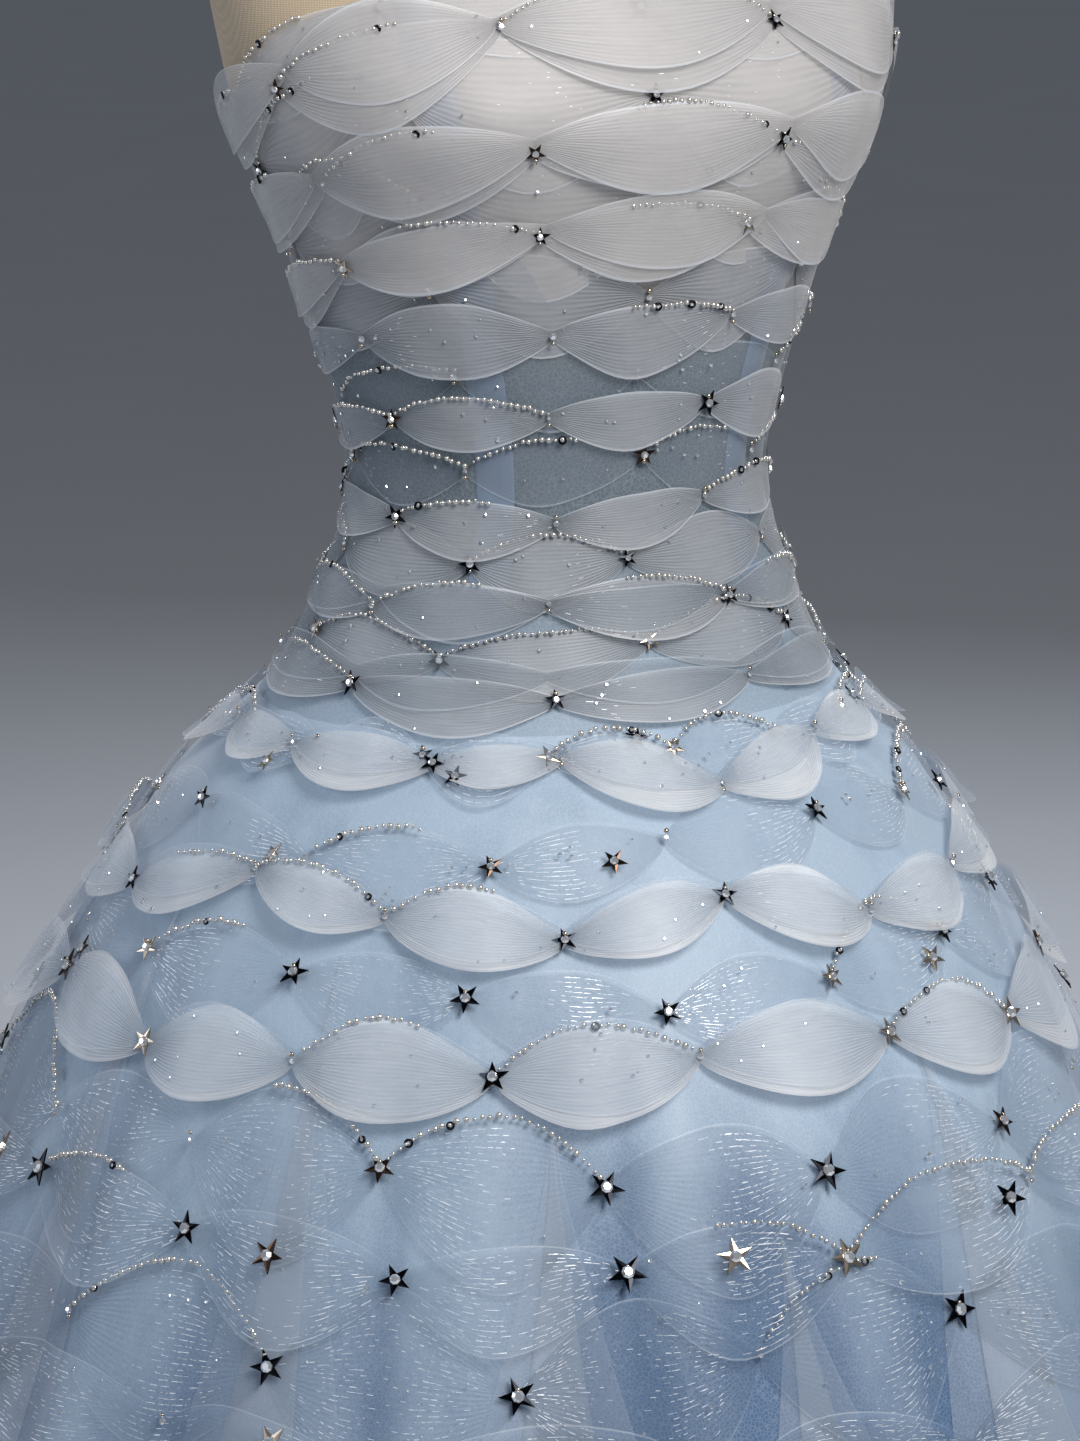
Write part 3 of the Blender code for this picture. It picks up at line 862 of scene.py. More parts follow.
PLAIN_FINISHES = {
    # A pale corded line that draws a petal's edge, and a fainter one for the clear petals.
    "rim": PlainFinish("braid_edge_thread", "#D3DAE2", 0.4, alpha=0.55, sheen=0.5),
    "faint_rim": PlainFinish("braid_edge_thread_faint", "#C2D0DE", 0.4, alpha=0.32, sheen=0.5),
    # A film of pale blue that deepens where it laps over itself.
    "veil": PlainFinish("tulle_outer_layer", "#C3D3E4", 0.5, alpha=0.20, sheen=0.6),
    # A smooth blue band with a soft gleam, seen through the petals.
    "ribbon": PlainFinish("satin_ribbon_pale_blue", "#8CA1BC", 0.38, alpha=0.66, sheen=0.4),
    # Warm bright metal that catches the key light.
    "silver": PlainFinish("star_metal_champagne", "#C9BBA8", 0.22, metallic=1.0, uneven=0.3),
    # Near-black mirrors, the gown's darkest points.
    "dark": PlainFinish("star_metal_gunmetal", "#1B1D22", 0.10, metallic=1.0, uneven=0.3),
    # Brown mirrors between the two.
    "bronze": PlainFinish("star_metal_bronze", "#4A3A30", 0.14, metallic=1.0, uneven=0.3),
    # Small silvery glints in a row.
    "bead": PlainFinish("bead_silver_lined_glass", "#D8D6D0", 0.14, metallic=0.7, coat=1.0),
    # White sparks.
    "crystal": PlainFinish("crystal_foil_backed", "#F4F8FC", 0.04, metallic=0.85, coat=1.0, uneven=0.05),
    # Painted highlights: short bright dashes along the ribs where light glints, with a faint glow.
    "rib_highlight": PlainFinish(
        "painted_rib_highlight_white", "#EEF4FA", 0.35, metallic=0.2, glow=0.12, alpha=0.8, uneven=0.0
    ),
    # Dull black paint with a fine grain.
    "steel": PlainFinish("steel_powder_coated_black", "#1C1D20", 0.5, grain=900.0, uneven=0.4),
}


class Wardrobe:
    """Every finish, built once."""

    def __init__(self) -> None:
        """Builds the cloths, the braids, the plain finishes and the wood."""
        self.linen = LinenCover().build()
        self.bodice = BodiceMesh().build()
        self.tulle = SkirtTulle().build()
        self.braids = {braid.kind: braid.build() for braid in BRAIDS}
        self.plain = {name: finish.build() for name, finish in PLAIN_FINISHES.items()}
        self.wood = TurnedWood().build()


# Geometry Nodes


def new_geometry_tree(name: str, **sockets: str) -> tuple[Tree, Node]:
    """Starts a Geometry Nodes tree with a Geometry input and output, and a Finish input.

    Args:
        name: the tree's name.
        sockets: more inputs, each a name and the end of its socket type.

    Returns:
        The tree and its input node.
    """
    tree = bpy.data.node_groups.new(name, "GeometryNodeTree")
    for label, kind in {"Geometry": "Geometry", "Finish": "Material", **sockets}.items():
        tree.interface.new_socket(label, in_out="INPUT", socket_type=f"NodeSocket{kind}")
    tree.interface.new_socket("Geometry", in_out="OUTPUT", socket_type="NodeSocketGeometry")
    return tree, add_node(tree, "NodeGroupInput")


def end_geometry_tree(tree: Tree, given: Node, copies: Node) -> Tree:
    """Makes a tree's copies real, gives them the finish and joins them to the output."""
    whole = add_node(tree, "GeometryNodeRealizeInstances", {0: copies.outputs[0]})
    ends = {"Geometry": whole.outputs[0], "Material": given.outputs["Finish"]}
    add_node(tree, "NodeGroupOutput", {0: add_node(tree, "GeometryNodeSetMaterial", ends).outputs[0]})
    return tree


def run_tree(piece: Piece, tree: Tree, inputs: dict[str, object]) -> None:
    """Runs a Geometry Nodes tree on a piece and keeps the result as plain mesh.

    Args:
        piece: the object whose mesh goes in.
        tree: the tree.
        inputs: its named inputs.
    """
    modifier = piece.modifiers.new(tree.name, "NODES")
    modifier.node_group = tree
    for item in tree.interface.items_tree:
        if item.item_type == "SOCKET" and item.in_out == "INPUT" and item.name in inputs:
            modifier[item.identifier] = inputs[item.name]
    bpy.context.view_layer.update()
    bake_modifiers(piece)


def scatter_tree() -> Tree:
    """Copies a prototype to each point, turned to the point's facing and spin, at the point's size."""
    tree, given = new_geometry_tree("trims_on_points", Prototype="Object", Size="Float")
    facing, spin, size = (
        add_node(tree, "GeometryNodeInputNamedAttribute", {"Name": name}, data_type=kind).outputs[0]
        for name, kind in (("facing", "FLOAT_VECTOR"), ("spin", "FLOAT"), ("size", "FLOAT"))
    )
    aligned = add_node(tree, "FunctionNodeAlignRotationToVector", {"Vector": facing}, axis="Z")
    about = add_node(tree, "FunctionNodeAxisAngleToRotation", {"Angle": spin})
    turns = {0: aligned.outputs[0], 1: about.outputs[0]}
    turn = add_node(tree, "FunctionNodeRotateRotation", turns, rotation_space="LOCAL")
    shape = add_node(tree, "GeometryNodeObjectInfo", {"Object": given.outputs["Prototype"]})
    copies = add_node(
        tree, "GeometryNodeInstanceOnPoints",
        {
            "Points": given.outputs["Geometry"], "Instance": shape.outputs["Geometry"],
            "Rotation": turn.outputs[0], "Scale": maths(tree, "MULTIPLY", size, given.outputs["Size"]),
        },
    )
    return end_geometry_tree(tree, given, copies)


def bead_tree() -> Tree:
    """Threads beads of uneven size along each line of edges."""
    tree, given = new_geometry_tree(
        "beads_on_thread", Spacing="Float", Smallest="Float", Largest="Float", Seed="Int"
    )
    thread = add_node(tree, "GeometryNodeMeshToCurve", {0: given.outputs["Geometry"]})
    spaced = {"Curve": thread.outputs[0], "Length": given.outputs["Spacing"]}
    places = add_node(tree, "GeometryNodeResampleCurve", spaced, mode="LENGTH")
    bead = add_node(tree, "GeometryNodeMeshUVSphere", {"Segments": 7, "Rings": 4, "Radius": 0.5})
    soft = add_node(tree, "GeometryNodeSetShadeSmooth", {0: bead.outputs[0]})
    sizes = {2: given.outputs["Smallest"], 3: given.outputs["Largest"], "Seed": given.outputs["Seed"]}
    uneven = add_node(tree, "FunctionNodeRandomValue", sizes, data_type="FLOAT")
    shakes = {0: (-BEAD_SHAKE,) * 3, 1: (BEAD_SHAKE,) * 3, "Seed": given.outputs["Seed"]}
    loose = add_node(tree, "FunctionNodeRandomValue", shakes, data_type="FLOAT_VECTOR")
    moved = {"Geometry": places.outputs[0], "Offset": loose.outputs[0]}
    shaken = add_node(tree, "GeometryNodeSetPosition", moved)
    each = {"Points": shaken.outputs[0], "Instance": soft.outputs[0], "Scale": uneven.outputs[1]}
    return end_geometry_tree(tree, given, add_node(tree, "GeometryNodeInstanceOnPoints", each))


# The form and its stand


@dataclass
class Turning:
    """A turned piece: a profile of radius and height swept round the pole's axis."""

    name: str
    profile: tuple[tuple[float, float], ...]
    finish: Material
    slot: str
    sides: int = 64
    corner: float = 0.003

    def build(self) -> Piece:
        """Builds the piece, closed at both ends, in place of its node."""
        rounded = self.rounded()
        rings = [(0.0, rounded[0][1])] + rounded + [(0.0, rounded[-1][1])]
        turn = np.linspace(0.0, 2 * np.pi, self.sides, endpoint=False)
        points = [(0.0, 0.0, rings[0][1])]
        for radius, height in rings[1:-1]:
            points += [(radius * math.cos(t), radius * math.sin(t), height) for t in turn]
        points.append((0.0, 0.0, rings[-1][1]))
        faces, last = [], len(points) - 1
        for side in range(self.sides):
            after = (side + 1) % self.sides
            faces.append((0, 1 + after, 1 + side))
            for ring in range(len(rounded) - 1):
                low, high = 1 + ring * self.sides, 1 + (ring + 1) * self.sides
                faces.append((low + side, low + after, high + after, high + side))
            top = 1 + (len(rounded) - 1) * self.sides
            faces.append((top + side, top + after, last))
        piece = make_piece(f"{self.name}_turned", np.array(points), faces, self.finish)
        piece.data.set_sharp_from_angle(angle=math.radians(40))
        return dress(piece, self.slot, self.name)

    def rounded(self) -> list[tuple[float, float]]:
        """The profile with each corner cut by a small round of three points."""
        profile = [np.array(point) for point in self.profile]
        found = [profile[0]]
        for before, here, after in zip(profile, profile[1:], profile[2:]):
            cut = min(self.corner, 0.4 * np.linalg.norm(here - before), 0.4 * np.linalg.norm(after - here))
            start = here + (before - here) / np.linalg.norm(before - here) * cut
            end = here + (after - here) / np.linalg.norm(after - here) * cut
            found += [start, (start + 2 * here + end) / 4, end]
        return [tuple(point) for point in found + [profile[-1]]]


@dataclass
class DressForm:
    """The linen-covered torso that the gown stands on, its neck cap, pole and base."""

    wardrobe: Wardrobe
    columns: int = 144
    inset: float = CLOTH_WALL + 0.6 * MM
    torso_foot: float = 0.770
    torso_top: float = 1.530

    def build(self) -> list[Piece]:
        """Builds the torso and the stand."""
        return [self.build_torso(), *self.build_stand()]

    def build_torso(self) -> Piece:
        """Builds the torso: hips, the shape under the bodice, shoulders and neck."""
        angles = np.arange(self.columns) * 360.0 / self.columns
        hips = np.linspace(self.torso_foot, FORM_HIP_SECTIONS[-1][0], 14)
        rings = [self.oval_ring(FORM_HIP_SECTIONS, angles, h) for h in hips]
        heights = np.linspace(SEAM_HEIGHT, LOOKUP_HEIGHT, 56)
        rings += [FORM.surface(angles, np.full_like(angles, h), -self.inset) for h in heights]
        rings += [self.oval_ring(FORM_SECTIONS, angles, h) for h in np.linspace(1.368, self.torso_top, 28)]
        points = np.stack(rings, axis=1)
        rows = points.shape[1]
        faces = grid_faces(self.columns, rows, closed=True)
        flat = points.reshape(-1, 3)
        ends = np.array([[0.0, 0.0, self.torso_foot], [0.0, 0.0, self.torso_top]])
        for column in range(self.columns):
            after = (column + 1) % self.columns
            faces.append((len(flat), after * rows, column * rows))
            faces.append((len(flat) + 1, column * rows + rows - 1, after * rows + rows - 1))
        uv = np.stack([np.repeat(angles / 360.0, rows), flat[:, 2]], axis=-1)
        uv = np.concatenate([uv, [[0.0, self.torso_foot], [0.0, self.torso_top]]])
        piece = make_piece(
            "form_torso_cover", np.concatenate([flat, ends]), faces, self.wardrobe.linen, uv, closing_u=1.0
        )
        piece.data.set_sharp_from_angle(angle=math.radians(50))
        return dress(piece, "form_cover", "form_torso")

    @staticmethod
    def oval_ring(table: tuple[tuple[float, ...], ...], angles: Array, height: float) -> Array:
        """A ring of one of the form's own tables."""
        return FORM.oval(table, angles, np.full_like(angles, height))[0]

    def build_stand(self) -> list[Piece]:
        """Builds the neck cap, the pole with its collar, and the base."""
        steel, wood = self.wardrobe.plain["steel"], self.wardrobe.wood
        cap_foot, collar_foot = self.torso_top + 0.0003, self.torso_foot - 0.0303
        cap = ((0.056, 0), (0.059, 0.006), (0.059, 0.016), (0.050, 0.024), (0.025, 0.033), (0.014, 0.040),
               (0.017, 0.052), (0.012, 0.064))
        pole = ((0.016, 0.0403), (0.016, collar_foot), (0.0252, collar_foot + 0.010),
                (0.042, collar_foot + 0.022), (0.042, collar_foot + 0.030))
        base = ((0.188, 0.0), (0.190, 0.002), (0.190, 0.010), (0.178, 0.015), (0.054, 0.018), (0.034, 0.024),
                (0.026, 0.040))
        raised = tuple((radius, cap_foot + height) for radius, height in cap)
        return [
            Turning("form_neck_cap", raised, wood, "cap_wood").build(),
            Turning("stand_pole", pole, steel, "stand_metal", sides=40).build(),
            Turning("stand_base", base, steel, "stand_metal", sides=96).build(),
        ]


# The gown's cloth


@dataclass
class Bodice:
    """The fitted bodice, its two ribbons and its back placket."""

    wardrobe: Wardrobe
    columns: int = 180
    rows: int = 64
    turn_in: float = 0.008
    ribbon_angle: float = 37.5
    ribbon_width: float = 0.020
    ribbon_foot: float = 0.960
    placket_width: float = 0.016

    panels = (
        "bodice_front", "bodice_side_front_left", "bodice_side_back_left", "bodice_back_left",
        "bodice_back_right", "bodice_side_back_right", "bodice_side_front_right",
    )

    def build(self) -> list[Piece]:
        """Builds the shell, the ribbons, the placket and its zip pull."""
        shell = self.build_shell()
        ribbon = (self.ribbon_width, self.ribbon_foot, 0.0009, self.wardrobe.plain["ribbon"], "stay_ribbon")
        cloth = (self.placket_width, SEAM_HEIGHT + 0.004, 0.0010, self.wardrobe.bodice, "bodice_cloth")
        strips = (
            ("stay_front_left", self.ribbon_angle, *ribbon),
            ("stay_front_right", -self.ribbon_angle, *ribbon),
            ("back_placket", 180.0, *cloth),
        )
        return [shell, *(self.build_strip(*strip, shell) for strip in strips), self.build_zip_pull()]

    def build_shell(self) -> Piece:
        """Builds the mesh over its lining as one fitted sheet, its neckline turned in."""
        angles = ring_angles(self.columns, self.rows + 2)
        levels = np.linspace(SEAM_HEIGHT, FRONT_NECK_HEIGHT, self.rows)
        heights = FORM.lowered(np.append(levels, [levels[-1], levels[-1] - self.turn_in])[None, :], angles)
        stand = np.zeros(self.rows + 2)
        stand[-2:] = -CLOTH_WALL
        points = FORM.surface(angles, heights, stand)
        uv = np.stack([angles / 360.0, heights], axis=-1)
        piece = make_piece(
            "bodice_shell", points, grid_faces(self.columns, self.rows + 2, closed=True),
            self.wardrobe.bodice, uv, closing_u=1.0,
        )
        dress(piece, "bodice_cloth", *self.panels)
        return piece

    def build_strip(
        self, name: str, middle: float, width: float, foot: float, stand: float,
        finish: Material, slot: str, shell: Piece,
    ) -> Piece:
        """Builds a narrow strip up the bodice.

        Args:
            name: the node that it stands for.
            middle: its angle.
            width: its width in metres.
            foot: the height of its lower end.
            stand: how far it stands off the bodice.
            finish: its material.
            slot: the record's slot, not used.
            shell: the bodice that it lies on, not used.

        Returns:
            The piece.
        """
        top = float(FORM.lowered(FRONT_NECK_HEIGHT, middle)) - 0.002
        heights = np.linspace(foot, top, 60)
        turn = math.radians(middle)
        deep = read_table(GOWN_SECTIONS, 2 if abs(middle) < 90 else 3, heights)
        pace = np.hypot(read_table(GOWN_SECTIONS, 1, heights) * math.cos(turn), deep * math.sin(turn))
        half = np.degrees(width / 2 / pace)
        across = np.array([-1.0, -0.9, -0.3, 0.3, 0.9, 1.0])
        edge = np.array([0.0, 1.0, 1.0, 1.0, 1.0, 0.0])
        angles = middle + across[:, None] * half[None, :]
        points = FORM.surface(angles, heights, stand * (0.4 + 0.6 * edge)[:, None])
        uv = np.stack(np.broadcast_arrays(across[:, None], heights[None, :]), axis=-1)
        piece = make_piece(f"{name}_strip", points, grid_faces(6, 60), finish, uv)
        dress(piece, slot, name)
        return piece

    def build_zip_pull(self) -> Piece:
        """Builds the small metal tab that hangs at the top of the placket."""
        top = float(FORM.lowered(FRONT_NECK_HEIGHT, 180.0)) - 0.004
        outline = [(0.0, 0.0), (1.6, -1.2), (1.9, -4.0), (2.6, -11.0), (1.8, -14.5), (0.0, -15.6)]
        outline += [(-x, y) for x, y in outline[-2:0:-1]]
        points, count = [], len(outline)
        for stand in (0.0020, 0.0031):
            for x, y in outline:
                height = top + y * MM
                points.append(FORM.surface(180.0 + math.degrees(x * MM / 0.096), height, stand))
        faces = [tuple(range(count)), tuple(range(2 * count - 1, count - 1, -1))]
        faces += [(i, i + count, (i + 1) % count + count, (i + 1) % count) for i in range(count)]
        piece = make_piece("zip_pull", np.array(points), faces, self.wardrobe.plain["silver"], smooth=False)
        return dress(piece, "star_metal")


@dataclass
class Skirt:
    """The skirt's tulle and its hem band."""

    wardrobe: Wardrobe
    columns: int = 320
    rows: int = 84
    hem_band: float = 0.012
    veil_folds: int = 14

    panels = ("skirt_front", "skirt_side_left", "skirt_back", "skirt_side_right")

    def build(self) -> list[Piece]:
        """Builds the tulle and the band."""
        angles = ring_angles(self.columns, self.rows + 1)
        share = np.linspace(0.0, 1.0, self.rows) ** 1.15
        levels = np.append(HEM_HEIGHT, HEM_HEIGHT + (SEAM_HEIGHT - HEM_HEIGHT) * share)
        stand = np.zeros(self.rows + 1)
        stand[0] = -CLOTH_WALL
        points = FORM.surface(angles, levels, stand)
        # The fold attribute carries painted shade for the tulle's colour, darker in the folds' troughs.
        shell = make_piece(
            "skirt_shell", points, grid_faces(self.columns, self.rows + 1, closed=True), self.wardrobe.tulle,
            values={"fold": FORM.fold_shade(angles, levels)},
        )
        dress(shell, "skirt_cloth", *self.panels)
        return [shell, self.build_band(), self.build_veil()]

    def build_veil(self) -> Piece:
        """Builds the sheer tulle that falls over the skirt in narrow lapped folds."""
        draw = random.Random(SEED)
        rows, across = 46, 19
        places, faces = [], []
        for fold in range(self.veil_folds):
            middle = (fold + draw.uniform(-0.28, 0.28)) * 360.0 / self.veil_folds
            top = draw.uniform(0.70, 0.88)
            wide, side, lean = draw.uniform(6.0, 10.0), draw.choice((-1.0, 1.0)), draw.uniform(-2.5, 2.5)
            heights = np.linspace(HEM_HEIGHT + 0.003, top, rows)[None, :]
            t = np.linspace(-1.0, 1.0, across)[:, None]
            fall = np.clip((top - heights) / (top - HEM_HEIGHT), 0.0, 1.0)
            grown = np.clip(fall * 4.0, 0.06, 1.0) * (0.85 + 0.15 * np.sin(7.0 * fall + fold))
            shift = t - 0.92 * np.sin(np.pi * t)
            angles = middle + lean * np.sin(2.2 * fall) + side * wide * grown * shift
            stand = 0.0016 - 0.0009 * np.sin(np.pi * t) * grown
            angles, levels = np.broadcast_arrays(angles, heights)
            faces += grid_faces(across, rows, first=len(places) * across * rows)
            places.append(FORM.surface(angles, levels, stand))
        points = np.concatenate(places).reshape(-1, 3)
        veil = make_piece("skirt_veil", points, faces, self.wardrobe.plain["veil"])
        dress(veil, "skirt_cloth")
        wide = sum(path_length(place[:, 0]) for place in places)
        return veil

    def build_band(self) -> Piece:
        """Builds the narrow braid that holds the hem out."""
        rows = 5
        angles = ring_angles(self.columns, rows)
        levels = np.linspace(HEM_HEIGHT + 0.0005, HEM_HEIGHT + self.hem_band, rows)
        points = FORM.surface(angles, levels, np.array([0.6, 1.2, 1.3, 1.2, 0.4]) * MM)
        uv = np.stack([angles / 12.0, np.broadcast_to(np.linspace(0.0, 0.6, rows), angles.shape)], axis=-1)
        band = make_piece(
            "hem_band", points, grid_faces(self.columns, rows, closed=True),
            self.wardrobe.braids[BraidKind.WHITE], uv, closing_u=30.0,
        )
        dress(band, "petal_braid")
        return band


# The petals


@dataclass
class PetalChain:
    """One length of braid, pinched into petals and sewn to the cloth at each pinch."""

    name: str
    tier: Tier
    kind: BraidKind
    pinches: Array
    heights: Array
    halves: Array
    puffs: Array
    closed: bool
    gap: float
    seed: int
    node: str = ""
    along: int = 24
    rim_width: float = 0.9 * MM
    flare: float = 0.7
    lower_bluntness: float = 0.74
    upper_bluntness: float = 1.05
    ruffle: float = 0.012
    unevenness: float = 0.0004
    crowding: float = 0.07
    across: tuple[float, ...] = (-0.78, -0.5, -0.2, 0.1, 0.4, 0.7)

    def __post_init__(self) -> None:
        """Draws each petal's own small differences from the seed."""
        draw = np.random.default_rng(self.seed)
        count = len(self.halves)
        self.fuller = draw.uniform(0.84, 1.14, count)
        self.lean = draw.uniform(-0.12, 0.12, count)
        self.droop = draw.uniform(0.0, 0.42, count)
        self.lift = draw.uniform(0.2, 1.0, count)
        self.wave = draw.uniform(0.0, 2 * np.pi, count)

    def place(self, petal: Array | int, u: Array, v: Array, more: Array | float = 0.0) -> Array:
        """Points on a petal.

        Args:
            petal: its number.
            u: how far along it, from 0 to 1.
            v: how far across it, from -1 at the lower edge to 1.
            more: how much farther out of the braid.

        Returns:
            Points.
        """
        petal, u, v, more = np.broadcast_arrays(petal, np.asarray(u, float), np.asarray(v, float), more)
        count = len(self.pinches)
        after = (petal + 1) % count
        start, end = self.pinches[petal], self.pinches[after]
        end = np.where(end < start, end + 360.0, end)
        degrees = start + (end - start) * u
        swell = np.sin(np.pi * np.clip(u + self.lean[petal] * np.sin(np.pi * u) ** 2 * 0.4, 0.0, 1.0))
        full = np.clip(swell, 0.0, 1.0) ** 0.95
        fuller = np.clip(swell, 0.0, 1.0) ** np.where(v < 0, self.lower_bluntness, self.upper_bluntness)
        pinched = PINCH_HALF_HEIGHT * 0.6
        half = pinched + (self.halves[petal] * self.fuller[petal] - pinched) * fuller
        middle = self.heights[petal] + (self.heights[after] - self.heights[petal]) * u
        out = FORM.outward(degrees, middle)
        level = np.hypot(out[..., 0], out[..., 1])
        ruffle = self.ruffle * np.sin(4 * np.pi * u + self.wave[petal]) * np.abs(v) ** 3 * full
        offset = v * (1.0 + ruffle) - self.droop[petal] * full
        height = middle + offset * half * level
        stand = self.gap + self.puffs[petal] * full * (1.0 - 0.25 * v * v)
        free = np.clip(-v, 0.0, 1.0) ** 2 * self.lift[petal]
        stand = stand + self.puffs[petal] * self.flare * free * full
        stand = stand + self.unevenness * np.sin(5 * np.pi * u + 2.0 * v + self.wave[petal]) * full
        height = np.clip(height, HEM_HEIGHT + 0.001, LOOKUP_HEIGHT)
        return FORM.surface(degrees, height, stand + more)

    def build(self, wardrobe: Wardrobe, under: Piece) -> Piece:
        """Builds the braid as one sheet with a corded edge.

        Args:
            wardrobe: the finishes.
            under: the piece that it lies on, not used.

        Returns:
            The piece.
        """
        count = len(self.halves)
        edge_width = self.rim_width / float(np.mean(self.halves))
        across = np.array([-1.0, -1.0 + edge_width, *self.across, 1.0 - edge_width, 1.0])
        petals = np.repeat(np.arange(count), self.along)
        steps = np.arange(self.along) / self.along
        u = np.tile(steps - self.crowding * np.sin(2 * np.pi * steps), count)
        if not self.closed:
            petals, u = np.append(petals, count - 1), np.append(u, 1.0)
        points = self.place(petals[:, None], u[:, None], across[None, :])
        rows = len(across)
        faces = grid_faces(len(petals), rows, self.closed)
        uv = np.stack(np.broadcast_arrays((petals + u)[:, None], (across[None, :] + 1) / 2), axis=-1)
        around = float(count) if self.closed else 0.0
        turn = np.degrees(np.arctan2(points[..., 0], -points[..., 1]))
        # Skirt petals carry the same painted shade, darker in the folds' troughs.
        fold = FORM.fold_shade(turn, points[..., 2]) if self.tier is Tier.SKIRT else np.zeros(turn.shape)
        piece = make_piece(
            self.name, points, faces, wardrobe.braids[self.kind], uv, values={"fold": fold}, closing_u=around
        )
        piece.data.materials.append(wardrobe.plain["faint_rim" if self.kind in FAINT_BRAIDS else "rim"])
        edge = np.tile(np.array([1] + [0] * (rows - 3) + [1]), len(faces) // (rows - 1))
        piece.data.polygons.foreach_set("material_index", edge.astype(np.int32))
        dress(piece, "petal_braid", *([self.node] if self.node else []))
        return piece


